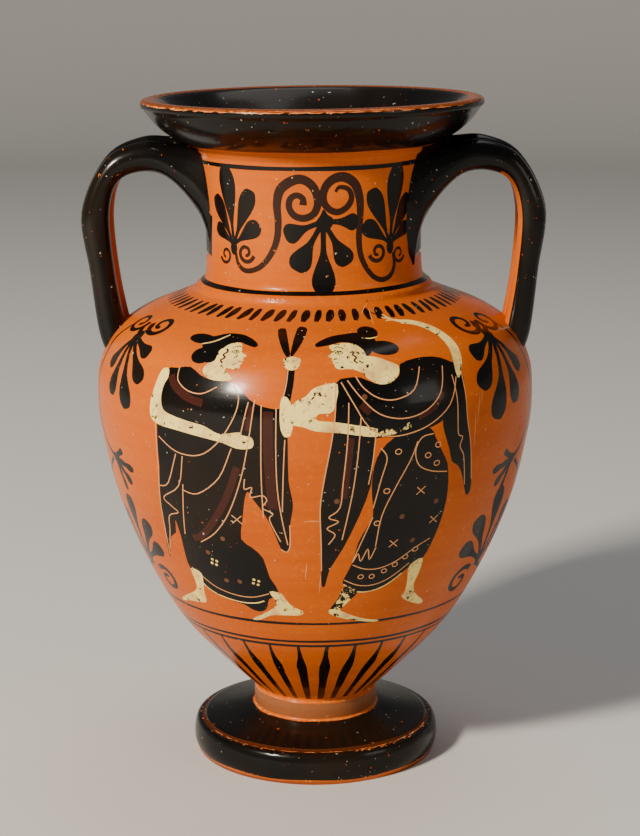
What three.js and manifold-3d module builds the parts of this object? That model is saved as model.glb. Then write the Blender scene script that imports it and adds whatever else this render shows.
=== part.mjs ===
// A two-handled storage jar of fired clay with a black painted finish, hollow and open at the mouth.
// Millimetres, +Z up, origin at the middle of the underside. The handles stand along X.

import * as THREE from 'three';
import { mergeVertices } from 'three/addons/utils/BufferGeometryUtils.js';
import Module from 'manifold-3d';

const wasm = await Module();
wasm.setup();

// Foot
const FOOT_RADIUS = 56.5;
const FOOT_SIDE_HEIGHT = 14.1;
const FOOT_HEIGHT = 20.2;
const FOOT_RING_WIDTH = 9.5;
const FOOT_HOLLOW_DEPTH = 12;
const FOOT_STEP_WIDTH = 4.2;

// Collar between foot and body
const COLLAR_RADIUS = 28.2;
const COLLAR_HEIGHT = 9.2;

// Body
const BODY_BASE_RADIUS = 26.8;
const BELLY_RADIUS = 97.8;
const BODY_RISE = 139;
const SHOULDER_RISE = 48.2;

// Neck
const NECK_RING_RADIUS = 52.3;
const NECK_RING_HEIGHT = 2.4;
const NECK_RADIUS = 47.9;
const NECK_RISE = 59;
const NECK_TOP_FLARE = 2.1;

// Mouth
const MOUTH_RADIUS = 75.5;
const MOUTH_RISE = 22;
const MOUTH_STEP = 5;
const LIP_FACE_HEIGHT = 3.4;
const LIP_TOP_WIDTH = 9;
const LIP_TOP_DROP = 1.1;

// Walls
const BODY_WALL = 5;
const NECK_WALL = 4.6;
const FLOOR_THICKNESS = 20;

// Handles: three rolls of clay laid side by side
const HANDLE_WIDTH = 30;
const HANDLE_THICKNESS = 11.6;
const ROLL_SPACING_SHARE = 0.633;
const MIDDLE_ROLL_RISE_SHARE = 0.26;
const ARM_SWING = 12.1;
const APEX_RISE = 3.7;
const APEX_SPAN = 24.4;
const ARM_TAPER = 1.4;
const ARM_LENGTH = 27;
const ROOT_CLEARANCE = 15;
const ROOT_WIDTH = 44;
const ROOT_WEB_REACH = 12;
const ROOT_WEB_WIDTH = 37;
const SEAT_DROP = 19.5;
const SEAT_DEPTH = 12;
const HANDLE_SKEW_DEG = 3.8;

// The potter set the neck a little out of true: the mouth dips towards -X
const MOUTH_LEAN_DEG = 0.6;
const LEAN_START_SHARE = 0.4;
const LEAN_END_SHARE = 0.72;

const SEGMENTS = 48;
const FOOT_CURVE_STEPS = 6;
const BODY_CURVE_STEPS = 11;
const SHOULDER_CURVE_STEPS = 10;
const NECK_CURVE_STEPS = 6;
const MOUTH_CURVE_STEPS = 6;
const FUNNEL_STEPS = 6;
const ROLL_STEPS = 6;

// Heights that follow from the sizes above
const collarTopZ = FOOT_HEIGHT + COLLAR_HEIGHT;
const bellyZ = collarTopZ + BODY_RISE;
const shoulderTopZ = bellyZ + SHOULDER_RISE;
const neckBaseZ = shoulderTopZ + NECK_RING_HEIGHT;
const neckTopZ = neckBaseZ + NECK_RISE;
const mouthTopZ = neckTopZ + MOUTH_RISE;

// A smooth curve through a few points, sampled evenly
function curveThrough(points, steps) {
  const curve = new THREE.SplineCurve(points.map(([r, z]) => new THREE.Vector2(r, z)));
  return curve.getPoints(steps).map((p) => [p.x, p.y]);
}

// Points given as shares of the way from one corner of a box to the other
function spread(from, to, shares) {
  return shares.map(([u, v]) => [
    from[0] + (to[0] - from[0]) * u,
    from[1] + (to[1] - from[1]) * v,
  ]);
}

// Foot: a hollow underside, a torus edge with a small step on top, and a low cone up to the collar
function footOutline() {
  const ringInner = FOOT_RADIUS - FOOT_RING_WIDTH - 1.5;
  const side = spread([FOOT_RADIUS, 0], [FOOT_RADIUS - FOOT_STEP_WIDTH, FOOT_SIDE_HEIGHT], [
    [0.38, 0],
    [0.06, 0.27],
    [0, 0.53],
    [0.12, 0.8],
    [0.42, 0.985],
    [1, 1.02],
  ]);
  return [
    [0, FOOT_HOLLOW_DEPTH],
    [ringInner * 0.5, FOOT_HOLLOW_DEPTH * 0.9],
    [ringInner * 0.86, FOOT_HOLLOW_DEPTH * 0.55],
    [ringInner, 0],
    ...curveThrough(side, FOOT_CURVE_STEPS),
    [FOOT_RADIUS - FOOT_STEP_WIDTH - 1.7, FOOT_SIDE_HEIGHT + 1.5],
    [COLLAR_RADIUS, FOOT_HEIGHT],
  ];
}

// Body from the collar up to its widest point
function bodyOutline() {
  const rise = spread([BODY_BASE_RADIUS, collarTopZ], [BELLY_RADIUS, bellyZ], [
    [0, 0],
    [0.21, 0.105],
    [0.496, 0.266],
    [0.725, 0.474],
    [0.891, 0.69],
    [0.983, 0.9],
    [1, 1],
  ]);
  return curveThrough(rise, BODY_CURVE_STEPS);
}

// Shoulder from the widest point in to the neck ring
function shoulderOutline() {
  const fall = spread([NECK_RING_RADIUS, bellyZ], [BELLY_RADIUS, shoulderTopZ], [
    [1, 0],
    [0.985, 0.25],
    [0.908, 0.46],
    [0.79, 0.635],
    [0.543, 0.79],
    [0.246, 0.905],
    [0, 1],
  ]);
  return curveThrough(fall, SHOULDER_CURVE_STEPS);
}

// Neck: a cove above its ring, an almost straight drum, and a fine ridge under the mouth
function neckOutline() {
  const topRadius = NECK_RADIUS + NECK_TOP_FLARE;
  const drum = [
    [NECK_RADIUS + 0.5, neckBaseZ + 3],
    [NECK_RADIUS, neckBaseZ + NECK_RISE * 0.17],
    [NECK_RADIUS, neckBaseZ + NECK_RISE * 0.45],
    [NECK_RADIUS + NECK_TOP_FLARE * 0.4, neckBaseZ + NECK_RISE * 0.72],
    [topRadius, neckTopZ - 3],
  ];
  return [
    [NECK_RING_RADIUS, neckBaseZ],
    ...curveThrough(drum, NECK_CURVE_STEPS),
    [topRadius + 1.2, neckTopZ],
  ];
}

// Mouth: a step out, a full echinus curve, and a low upright lip
function mouthOutline() {
  const stepRadius = NECK_RADIUS + NECK_TOP_FLARE + MOUTH_STEP;
  const lipFootZ = mouthTopZ - LIP_FACE_HEIGHT;
  const flare = spread([stepRadius, neckTopZ + 2.2], [MOUTH_RADIUS - 1.2, lipFootZ - 0.8], [
    [0, 0],
    [0.32, 0.19],
    [0.6, 0.42],
    [0.82, 0.69],
    [1, 1],
  ]);
  return [
    ...curveThrough(flare, MOUTH_CURVE_STEPS),
    [MOUTH_RADIUS, lipFootZ + 0.4],
    [MOUTH_RADIUS - 0.2, lipFootZ + LIP_FACE_HEIGHT * 0.62],
    [MOUTH_RADIUS - LIP_TOP_WIDTH * 0.2, mouthTopZ - 0.25],
  ];
}

// The same curve moved inwards by the wall
function inset(outline, wall) {
  return outline.map(([r, z], i) => {
    const before = outline[Math.max(i - 1, 0)];
    const after = outline[Math.min(i + 1, outline.length - 1)];
    const along = new THREE.Vector2(after[0] - before[0], after[1] - before[1]).normalize();
    return [r - along.y * wall, z + along.x * wall];
  });
}

// Room inside: floor, belly, neck bore and the funnel of the mouth, carried on above the lip
function roomOutline() {
  const floorZ = FOOT_HOLLOW_DEPTH + FLOOR_THICKNESS;
  const boreRadius = NECK_RADIUS - NECK_WALL;
  const belly = inset(bodyOutline(), BODY_WALL).filter(([, z]) => z > floorZ + 4);
  const shoulder = inset(shoulderOutline(), BODY_WALL).filter(([r]) => r > boreRadius + 1.5);
  const lipInner = MOUTH_RADIUS - LIP_TOP_WIDTH;
  const crest = MOUTH_RADIUS - LIP_TOP_WIDTH / 2;
  const funnel = spread([boreRadius, neckTopZ - 8], [lipInner, mouthTopZ - LIP_TOP_DROP], [
    [0, 0],
    [0.14, 0.27],
    [0.42, 0.56],
    [0.76, 0.83],
    [1, 1],
  ]);
  return [
    [0, floorZ],
    [belly[0][0] * 0.6, floorZ + 0.6],
    ...belly,
    ...shoulder.slice(1),
    [boreRadius, neckBaseZ + 1],
    ...curveThrough(funnel, FUNNEL_STEPS),
    [crest, mouthTopZ],
    [crest + (crest - lipInner), mouthTopZ + LIP_TOP_DROP],
    [0, mouthTopZ + LIP_TOP_DROP],
  ];
}

// A closed solid for cutting and joining
function solidOf(geometry) {
  geometry.deleteAttribute('normal');
  geometry.deleteAttribute('uv');
  const merged = mergeVertices(geometry, 1e-4);
  const corners = [];
  for (let i = 0; i < merged.index.count; i += 3) {
    const [a, b, c] = [0, 1, 2].map((k) => merged.index.getX(i + k));
    if (a !== b && b !== c && c !== a) {
      corners.push(a, b, c);
    }
  }
  return new wasm.Manifold(new wasm.Mesh({
    numProp: 3,
    vertProperties: new Float32Array(merged.attributes.position.array),
    triVerts: new Uint32Array(corners),
  }));
}

// A solid turned on the potter's wheel from an outline of radius and height
function turned(outline) {
  const points = outline.map(([r, z]) => new THREE.Vector2(r, z));
  const geometry = new THREE.LatheGeometry(points, SEGMENTS);
  geometry.rotateX(Math.PI / 2);
  return solidOf(geometry);
}

// Radius of the pot's outside at a height on the shoulder
function shoulderRadiusAt(height) {
  const outline = shoulderOutline();
  const i = outline.findIndex(([, z]) => z > height);
  const [r0, z0] = outline[i - 1];
  const [r1, z1] = outline[i];
  return r0 + (r1 - r0) * (height - z0) / (z1 - z0);
}

// Section of a handle: the outline of three rolls side by side, as shares of half width and half thickness
function rollSection() {
  const rollRadius = 1 - ROLL_SPACING_SHARE;
  const lift = MIDDLE_ROLL_RISE_SHARE * rollRadius;
  const half = new THREE.Vector2(ROLL_SPACING_SHARE, -lift).multiplyScalar(0.5);
  const reach = Math.sqrt(rollRadius ** 2 - half.lengthSq());
  const across = new THREE.Vector2(-half.y, half.x).normalize().multiplyScalar(reach);
  const middle = new THREE.Vector2(ROLL_SPACING_SHARE, lift).multiplyScalar(0.5);
  const upper = middle.clone().add(across);
  const lower = middle.clone().sub(across);
  const sideCentre = new THREE.Vector2(ROLL_SPACING_SHARE, 0);
  const start = lower.clone().sub(sideCentre).angle() - 2 * Math.PI;
  const end = upper.clone().sub(sideCentre).angle();
  const rightSide = [];
  for (let i = 0; i <= ROLL_STEPS; i += 1) {
    const angle = start + (end - start) * i / ROLL_STEPS;
    rightSide.push([
      sideCentre.x + rollRadius * Math.cos(angle),
      sideCentre.y + rollRadius * Math.sin(angle),
    ]);
  }
  const bulge = (x, side) => [x, lift + side * Math.sqrt(rollRadius ** 2 - x ** 2)];
  const crown = upper.x * 0.55;
  const leftSide = rightSide.map(([x, y]) => [-x, y]).reverse();
  return [
    ...rightSide,
    bulge(crown, 1),
    bulge(-crown, 1),
    ...leftSide,
    bulge(-crown, -1),
    bulge(crown, -1),
  ].map(([x, y]) => [x, y / rollRadius]);
}

// Edges of a handle from the neck, over the apex and down to the shoulder, with its width there
function handleStations() {
  const seatZ = shoulderTopZ - SEAT_DROP;
  const seatRadius = shoulderRadiusAt(seatZ);
  const reach = seatRadius + ARM_SWING;
  const apexZ = neckTopZ + APEX_RISE;
  const rootZ = neckBaseZ + ROOT_CLEARANCE;
  const apexRadius = (NECK_RADIUS + reach) / 2;
  const armInner = reach - HANDLE_THICKNESS - ARM_TAPER / 2;
  const armZ = (seatZ + apexZ) / 2 + HANDLE_THICKNESS;
  const lowZ = armZ - ARM_LENGTH;
  const webZ = rootZ + HANDLE_THICKNESS * 1.2;
  const neck = NECK_RADIUS;
  return [
    { outer: [neck - 2, neckTopZ + 1], inner: [neck - 4, rootZ - 9], width: ROOT_WIDTH },
    { outer: [neck + ROOT_WEB_REACH, neckTopZ + 2.4], inner: [neck + 1.1, webZ], width: ROOT_WEB_WIDTH },
    { outer: [apexRadius, apexZ], inner: [apexRadius - 9.5, apexZ - 15], width: HANDLE_WIDTH + 2 },
    { outer: [reach - 11, apexZ - 7.8], inner: [reach - 18.5, apexZ - 16], width: HANDLE_WIDTH },
    { outer: [reach, armZ], inner: [armInner, armZ], width: HANDLE_WIDTH },
    { outer: [reach - 2 * ARM_TAPER, lowZ], inner: [armInner - ARM_TAPER, lowZ], width: HANDLE_WIDTH },
    { outer: [seatRadius + 6, seatZ], inner: [seatRadius - 6, seatZ + 2], width: HANDLE_WIDTH + 1 },
    {
      outer: [seatRadius + 1.5, seatZ - SEAT_DEPTH],
      inner: [seatRadius - 10, seatZ - SEAT_DEPTH * 0.75],
      width: HANDLE_WIDTH + 3,
    },
  ];
}

// One handle, lofted along its stations and standing towards +X
function handleSolid() {
  const stations = handleStations();
  const steps = (stations.length - 1) * 2;
  const outer = curveThrough(stations.map((s) => s.outer), steps);
  const inner = curveThrough(stations.map((s) => s.inner), steps);
  const width = curveThrough(stations.map((s, i) => [i, s.width]), steps);
  const section = rollSection();
  const skew = Math.tan(THREE.MathUtils.degToRad(HANDLE_SKEW_DEG));
  const armRadius = stations[4].outer[0];
  const positions = [];
  const faces = [];
  outer.forEach(([outerX, outerZ], i) => {
    const [innerX, innerZ] = inner[i];
    for (const [across, through] of section) {
      const share = (through + 1) / 2;
      const x = innerX + (outerX - innerX) * share;
      const z = innerZ + (outerZ - innerZ) * share;
      positions.push(x, across * width[i][1] / 2 - (armRadius - x) * skew, z);
    }
  });
  const count = section.length;
  for (let i = 0; i < steps; i += 1) {
    for (let k = 0; k < count; k += 1) {
      const here = i * count + k;
      const next = i * count + (k + 1) % count;
      faces.push(here, next, next + count, here, next + count, here + count);
    }
  }
  for (const i of [0, steps]) {
    const middle = positions.length / 3;
    const rim = [];
    for (let k = 0; k < count; k += 1) {
      rim.push(new THREE.Vector3().fromArray(positions, (i * count + k) * 3));
    }
    const centre = rim.reduce((sum, p) => sum.add(p), new THREE.Vector3()).divideScalar(count);
    positions.push(centre.x, centre.y, centre.z);
    for (let k = 0; k < count; k += 1) {
      const here = i * count + k;
      const next = i * count + (k + 1) % count;
      faces.push(...(i === 0 ? [middle, next, here] : [middle, here, next]));
    }
  }
  const geometry = new THREE.BufferGeometry();
  geometry.setAttribute('position', new THREE.Float32BufferAttribute(positions, 3));
  geometry.setIndex(faces);
  return solidOf(geometry);
}

// The lean of the neck: heights shift with x and the axis bends over between two levels,
// and the whole pot is moved so that the handles' outermost level stays centred
function lean(position) {
  const angle = THREE.MathUtils.degToRad(MOUTH_LEAN_DEG);
  const startZ = mouthTopZ * LEAN_START_SHARE;
  const endZ = mouthTopZ * LEAN_END_SHARE;
  const centredZ = neckTopZ - APEX_SPAN;
  const shift = (z) => {
    const t = THREE.MathUtils.clamp((z - startZ) / (endZ - startZ), 0, 1);
    const bend = (endZ - startZ) * (t ** 3 - t ** 4 / 2);
    return angle * (bend + Math.max(z - endZ, 0));
  };
  for (let i = 0; i < position.count; i += 1) {
    const x = position.getX(i);
    const z = position.getZ(i);
    const slope = angle * THREE.MathUtils.smoothstep(z, startZ, endZ);
    position.setX(i, x - shift(z) + shift(centredZ));
    position.setZ(i, z + x * slope);
  }
}

// Back from a closed solid to a mesh geometry
function geometryOf(solid) {
  const mesh = solid.getMesh();
  const geometry = new THREE.BufferGeometry();
  geometry.setAttribute('position', new THREE.BufferAttribute(mesh.vertProperties, 3));
  geometry.setIndex(new THREE.BufferAttribute(mesh.triVerts, 1));
  return geometry;
}

// The whole pot: turned shell and two handles in one, with the room inside cut out last
function amphoraGeometry() {
  const shell = turned([
    ...footOutline(),
    [COLLAR_RADIUS, collarTopZ - 0.3],
    ...bodyOutline(),
    ...shoulderOutline().slice(1),
    ...neckOutline(),
    ...mouthOutline(),
    [MOUTH_RADIUS - LIP_TOP_WIDTH / 2, mouthTopZ],
    [0, mouthTopZ],
  ]);
  const right = handleSolid();
  const left = right.rotate([0, 0, 180]);
  const geometry = geometryOf(shell.add(right).add(left).subtract(turned(roomOutline())));
  lean(geometry.attributes.position);
  return geometry;
}

const blackSlip = new THREE.MeshStandardMaterial({ color: 0x1c1a18, roughness: 0.38, metalness: 0 });

const amphora = new THREE.Mesh(amphoraGeometry(), blackSlip);
amphora.name = 'amphora';

const model = new THREE.Group();
model.add(amphora);

export default model;
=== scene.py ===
"""A small black-figure neck amphora: painted clay skin, reeded handles, studio floor, light and camera."""

import math
import random

import bpy
import numpy as np
from mathutils import Euler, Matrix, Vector, kdtree
from mathutils.geometry import delaunay_2d_cdt


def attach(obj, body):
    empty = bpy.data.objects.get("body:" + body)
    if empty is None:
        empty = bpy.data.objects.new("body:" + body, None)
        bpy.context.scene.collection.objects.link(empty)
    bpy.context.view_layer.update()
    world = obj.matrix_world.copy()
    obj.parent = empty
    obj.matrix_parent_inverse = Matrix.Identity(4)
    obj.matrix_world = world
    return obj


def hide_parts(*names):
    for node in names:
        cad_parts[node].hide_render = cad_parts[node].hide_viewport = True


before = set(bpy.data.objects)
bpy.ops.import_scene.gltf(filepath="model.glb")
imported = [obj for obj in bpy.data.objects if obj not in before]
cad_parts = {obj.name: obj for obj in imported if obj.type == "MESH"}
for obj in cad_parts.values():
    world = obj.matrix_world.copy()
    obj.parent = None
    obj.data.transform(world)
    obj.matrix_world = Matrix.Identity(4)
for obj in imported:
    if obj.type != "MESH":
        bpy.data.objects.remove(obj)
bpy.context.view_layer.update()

MM = 0.001

# Foot, in millimetres like all the pot's sizes
FOOT_RADIUS = 56.5
FOOT_SIDE_HEIGHT = 14.1
FOOT_HEIGHT = 20.2
FOOT_RING_WIDTH = 9.5
FOOT_HOLLOW_DEPTH = 12.0
FOOT_STEP_WIDTH = 4.2

# Collar and body
COLLAR_RADIUS = 28.2
COLLAR_HEIGHT = 9.2
BODY_BASE_RADIUS = 26.8
BELLY_RADIUS = 97.8
BODY_RISE = 139.0
SHOULDER_RISE = 48.2

# Neck and mouth
NECK_RING_RADIUS = 52.3
NECK_RING_HEIGHT = 2.4
NECK_RADIUS = 47.9
NECK_RISE = 59.0
NECK_TOP_FLARE = 2.1
MOUTH_RADIUS = 75.5
MOUTH_RISE = 22.0
MOUTH_STEP = 5.0
LIP_FACE_HEIGHT = 3.4
LIP_TOP_WIDTH = 9.0
LIP_TOP_DROP = 1.1
LIP_BARE_SHARE = 0.36
LIP_INNER_SHARE = 0.78
INSIDE_BLACK_DEPTH = 35.0

# Walls
BODY_WALL = 5.0
NECK_WALL = 4.6
FLOOR_THICKNESS = 20.0

# Handles: three rolls of clay laid side by side
HANDLE_WIDTH = 30.0
HANDLE_THICKNESS = 11.6
ROLL_SPACING_SHARE = 0.633
MIDDLE_ROLL_RISE_SHARE = 0.15
ARM_SWING = 12.1
APEX_RISE = 3.7
APEX_SPAN = 24.4
ARM_TAPER = 1.4
ARM_LENGTH = 27.0
ROOT_CLEARANCE = 15.0
ROOT_WIDTH = 44.0
ROOT_WEB_REACH = 12.0
ROOT_WEB_WIDTH = 37.0
SEAT_DROP = 19.5
SEAT_DEPTH = 12.0
HANDLE_SKEW = math.radians(3.8)

# The bare strip inside each handle: where it starts along the handle, and how far it reaches to the front
BARE_STRIPS = {1: (0.34, 0.9), -1: (0.44, 0.3)}
BARE_STRIP_BACK = 0.62
BARE_STRIP_GROWTH = 0.1
BARE_STRIP_LEVEL = -0.2

# A ring of a handle's mesh this deep in the wall is left out
BURIED_DEPTH = 0.4

# The neck stands a little out of true: the mouth dips towards -X
MOUTH_LEAN = math.radians(0.6)
LEAN_START_SHARE = 0.4
LEAN_END_SHARE = 0.72

COLLAR_TOP_Z = FOOT_HEIGHT + COLLAR_HEIGHT
BELLY_Z = COLLAR_TOP_Z + BODY_RISE
SHOULDER_TOP_Z = BELLY_Z + SHOULDER_RISE
NECK_BASE_Z = SHOULDER_TOP_Z + NECK_RING_HEIGHT
NECK_TOP_Z = NECK_BASE_Z + NECK_RISE
MOUTH_TOP_Z = NECK_TOP_Z + MOUTH_RISE

# The unrolled skin: degrees round the pot become millimetres at this radius
UNROLL_RADIUS = 80.0
COLUMNS = 156
ROW_STEP = 3.0
ROW_TURN = math.radians(5)

# Paint, as strengths of black slip, added white, added red and incised line
BARE = (0.0, 0.0, 0.0, 0.0)
BLACK = (1.0, 0.0, 0.0, 0.0)
THIN_BLACK = (0.965, 0.0, 0.0, 0.0)
WASH = (0.58, 0.0, 0.15, 0.0)
GROOVE = (0.88, 0.0, 0.4, 0.0)
WHITE = (1.0, 1.0, 0.0, 0.0)
FADED_WHITE = (1.0, 0.5, 0.0, 0.0)
RED = (1.0, 0.0, 1.0, 0.0)
RED_ON_CLAY = (0.0, 0.0, 1.0, 0.2)
FADED_RED = (1.0, 0.0, 1.0, 0.13)
CHIPPED = (0.0, 0.3, 0.0, 0.35)
INCISED = (0.0, 0.0, 0.0, 1.0)

FOLD_LINE_WIDTH = 0.47

# Painted lines round the pot: lower and upper height, how far they waver, and the seed of that
ROUND_LINES = (
    (67.0, 68.3, 0.2, 6),
    (69.5, 70.8, 0.2, 7),
    (79.5, 80.8, 0.25, 8),
    (219.6, 221.2, 0.2, 9),
    (272.4, 274.3, 0.25, 10),
)


def through(points, steps):
    """A smooth curve through points, with this many steps between each two."""
    pts = [tuple(p) for p in points]
    last = len(pts) - 1
    out = []
    for k in range(last):
        p0, p1 = pts[max(k - 1, 0)], pts[k]
        p2, p3 = pts[k + 1], pts[min(k + 2, last)]
        for i in range(steps):
            w = i / steps
            out.append(tuple(bent(a, b, c, d, w) for a, b, c, d in zip(p0, p1, p2, p3)))
    return out + [pts[-1]]


def bent(a, b, c, d, w):
    """One coordinate between b and c, on the curve that comes from a and goes to d."""
    start, end = (c - a) / 2, (d - b) / 2
    return ((2 * b - 2 * c + start + end) * w + (-3 * b + 3 * c - 2 * start - end)) * w * w + start * w + b


def rounded(points, steps=3):
    """A closed smooth outline through points."""
    n = len(points)
    out = []
    for k in range(n):
        p0, p1, p2, p3 = (points[(k + i) % n] for i in (-1, 0, 1, 2))
        for i in range(steps):
            w = i / steps
            out.append(tuple(bent(a, b, c, d, w) for a, b, c, d in zip(p0, p1, p2, p3)))
    return out


def spread(start, end, shares):
    """Points given as shares of the way from one corner of a box to the other."""
    return [(start[0] + (end[0] - start[0]) * u, start[1] + (end[1] - start[1]) * v) for u, v in shares]


# Outlines of the turned pot, as radius and height

def foot_outline():
    side = spread(
        (FOOT_RADIUS, 0.0),
        (FOOT_RADIUS - FOOT_STEP_WIDTH, FOOT_SIDE_HEIGHT),
        [(0.38, 0), (0.06, 0.27), (0, 0.53), (0.12, 0.8), (0.42, 0.985), (1, 1.02)],
    )
    step = FOOT_RADIUS - FOOT_STEP_WIDTH
    top = [
        (step - 0.5, FOOT_SIDE_HEIGHT + 0.4), (step - 1.0, FOOT_SIDE_HEIGHT + 1.3),
        (step - 1.7, FOOT_SIDE_HEIGHT + 1.5), (step - 10.0, FOOT_SIDE_HEIGHT + 3.2),
        (COLLAR_RADIUS + 3.0, FOOT_HEIGHT - 0.5), (COLLAR_RADIUS + 0.6, FOOT_HEIGHT - 0.1),
    ]
    return through(side, 6) + top


def collar_outline():
    middle = FOOT_HEIGHT + COLLAR_HEIGHT / 2
    return [
        (COLLAR_RADIUS - 0.1, FOOT_HEIGHT + 0.5),
        (COLLAR_RADIUS + 0.1, FOOT_HEIGHT + 1.6),
        (COLLAR_RADIUS + 0.25, middle),
        (COLLAR_RADIUS + 0.1, COLLAR_TOP_Z - 1.8),
        (COLLAR_RADIUS - 0.2, COLLAR_TOP_Z - 0.7),
        (COLLAR_RADIUS - 0.9, COLLAR_TOP_Z - 0.3),
    ]


def body_outline():
    shares = [(0, 0), (0.21, 0.105), (0.496, 0.266), (0.725, 0.474), (0.891, 0.69), (0.983, 0.9), (1, 1)]
    return through(spread((BODY_BASE_RADIUS, COLLAR_TOP_Z), (BELLY_RADIUS, BELLY_Z), shares), 24)


def shoulder_outline():
    shares = [(1, 0), (0.985, 0.25), (0.908, 0.46), (0.79, 0.635), (0.543, 0.79), (0.246, 0.905), (0, 1)]
    return through(spread((NECK_RING_RADIUS, BELLY_Z), (BELLY_RADIUS, SHOULDER_TOP_Z), shares), 16)


def neck_outline():
    top = NECK_RADIUS + NECK_TOP_FLARE
    ring = [
        (NECK_RING_RADIUS + 0.1, SHOULDER_TOP_Z + 0.5), (NECK_RING_RADIUS + 0.2, SHOULDER_TOP_Z + 1.4),
        (NECK_RING_RADIUS - 0.2, NECK_BASE_Z - 0.3), (NECK_RING_RADIUS - 1.2, NECK_BASE_Z + 0.4),
    ]
    drum = through(
        [
            (NECK_RADIUS + 2.4, NECK_BASE_Z + 1.0),
            (NECK_RADIUS + 0.6, NECK_BASE_Z + 3.2),
            (NECK_RADIUS, NECK_BASE_Z + NECK_RISE * 0.17),
            (NECK_RADIUS, NECK_BASE_Z + NECK_RISE * 0.45),
            (NECK_RADIUS + NECK_TOP_FLARE * 0.4, NECK_BASE_Z + NECK_RISE * 0.72),
            (top, NECK_TOP_Z - 3.2),
        ],
        10,
    )
    ridge = [
        (top + 0.2, NECK_TOP_Z - 1.6), (top + 1.0, NECK_TOP_Z - 0.8), (top + 1.3, NECK_TOP_Z),
        (top + 1.0, NECK_TOP_Z + 0.8), (top + 0.8, NECK_TOP_Z + 1.3),
    ]
    return ring + drum + ridge


def mouth_outline():
    foot = NECK_RADIUS + NECK_TOP_FLARE + MOUTH_STEP
    lip_z = MOUTH_TOP_Z - LIP_FACE_HEIGHT
    flare = spread(
        (foot, NECK_TOP_Z + 2.2),
        (MOUTH_RADIUS - 1.2, lip_z - 0.8),
        [(0, 0), (0.32, 0.19), (0.6, 0.42), (0.82, 0.69), (1, 1)],
    )
    lip = [
        (MOUTH_RADIUS - 0.5, lip_z - 0.3), (MOUTH_RADIUS, lip_z + 0.4),
        (MOUTH_RADIUS + 0.05, lip_z + 1.4), (MOUTH_RADIUS - 0.2, lip_z + 2.3),
        (MOUTH_RADIUS - 0.9, MOUTH_TOP_Z - 0.5), (MOUTH_RADIUS - 1.9, MOUTH_TOP_Z - 0.18),
        (MOUTH_RADIUS - LIP_TOP_WIDTH / 2, MOUTH_TOP_Z),
    ]
    return [(foot - 2.6, NECK_TOP_Z + 1.6)] + through(flare, 8) + lip


def inset(outline, wall):
    """The same outline moved inwards by the wall."""
    out = []
    for i, (r, z) in enumerate(outline):
        before, after = outline[max(i - 1, 0)], outline[min(i + 1, len(outline) - 1)]
        along = Vector((after[0] - before[0], after[1] - before[1])).normalized()
        out.append((r - along.y * wall, z + along.x * wall))
    return out


def room_outline():
    """From the lip's crest down the funnel and the bore, round the belly to the middle of the floor."""
    floor_z = FOOT_HOLLOW_DEPTH + FLOOR_THICKNESS
    bore = NECK_RADIUS - NECK_WALL
    belly = [p for p in inset(body_outline(), BODY_WALL) if p[1] > floor_z + 4][::6]
    shoulder = [p for p in inset(shoulder_outline(), BODY_WALL) if p[0] > bore + 1.5][1::6]
    funnel = spread(
        (bore, NECK_TOP_Z - 8),
        (MOUTH_RADIUS - LIP_TOP_WIDTH, MOUTH_TOP_Z - LIP_TOP_DROP),
        [(0, 0), (0.14, 0.27), (0.42, 0.56), (0.76, 0.83), (1, 1)],
    )
    up = [(0.0, floor_z), (belly[0][0] * 0.3, floor_z + 0.2), (belly[0][0] * 0.62, floor_z + 0.8)]
    up += belly + shoulder + [(bore, NECK_BASE_Z + 1), (bore, NECK_BASE_Z + 20), (bore, NECK_TOP_Z - 22)]
    up += through(funnel, 5) + [(MOUTH_RADIUS - LIP_TOP_WIDTH * LIP_INNER_SHARE, MOUTH_TOP_Z - 0.45)]
    return up[::-1]


def underside_outline():
    """From the standing ring in to the middle of the hollow under the foot."""
    inner = FOOT_RADIUS - FOOT_RING_WIDTH - 1.5
    return [
        (inner + 1.2, 0.0),
        (inner, 0.5),
        (inner * 0.93, FOOT_HOLLOW_DEPTH * 0.33),
        (inner * 0.8, FOOT_HOLLOW_DEPTH * 0.66),
        (inner * 0.5, FOOT_HOLLOW_DEPTH * 0.92),
        (inner * 0.2, FOOT_HOLLOW_DEPTH),
        (0.0, FOOT_HOLLOW_DEPTH),
    ]


lower_skin = foot_outline() + collar_outline() + body_outline()
skin = np.array(lower_skin + shoulder_outline()[1:] + neck_outline() + mouth_outline())
skin_along = np.concatenate([[0.0], np.cumsum(np.hypot(*np.diff(skin, axis=0).T))])


def along_at(z):
    """Distance along the skin's outline at a height."""
    return np.interp(z, skin[:, 1], skin_along)


def radius_along(s):
    return np.interp(s, skin_along, skin[:, 0])


def lean(points):
    """Leans points in millimetres as the potter's neck leans."""
    points = np.array(points, float)
    start, end = MOUTH_TOP_Z * LEAN_START_SHARE, MOUTH_TOP_Z * LEAN_END_SHARE

    def shift(z):
        t = np.clip((z - start) / (end - start), 0, 1)
        return MOUTH_LEAN * ((end - start) * (t**3 - t**4 / 2) + np.maximum(z - end, 0))

    x, z = points[:, 0].copy(), points[:, 2].copy()
    t = np.clip((z - start) / (end - start), 0, 1)
    points[:, 0] = x - shift(z) + shift(NECK_TOP_Z - APEX_SPAN)
    points[:, 2] = z + x * MOUTH_LEAN * t * t * (3 - 2 * t)
    return points


# The painter's hand: every shape is kept as an outline on the unrolled skin, later ones over earlier ones

MM_PER_DEGREE = math.radians(1) * UNROLL_RADIUS
shapes = []
hand = random.Random(7)


def unrolled(a, z):
    return (a * MM_PER_DEGREE, float(along_at(z)))


def fill(paint, points, smooth=3):
    """A filled outline, from degrees round the pot and heights."""
    flat = [unrolled(a, z) for a, z in points]
    shapes.append((paint, rounded(flat, smooth) if smooth else flat))


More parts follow.
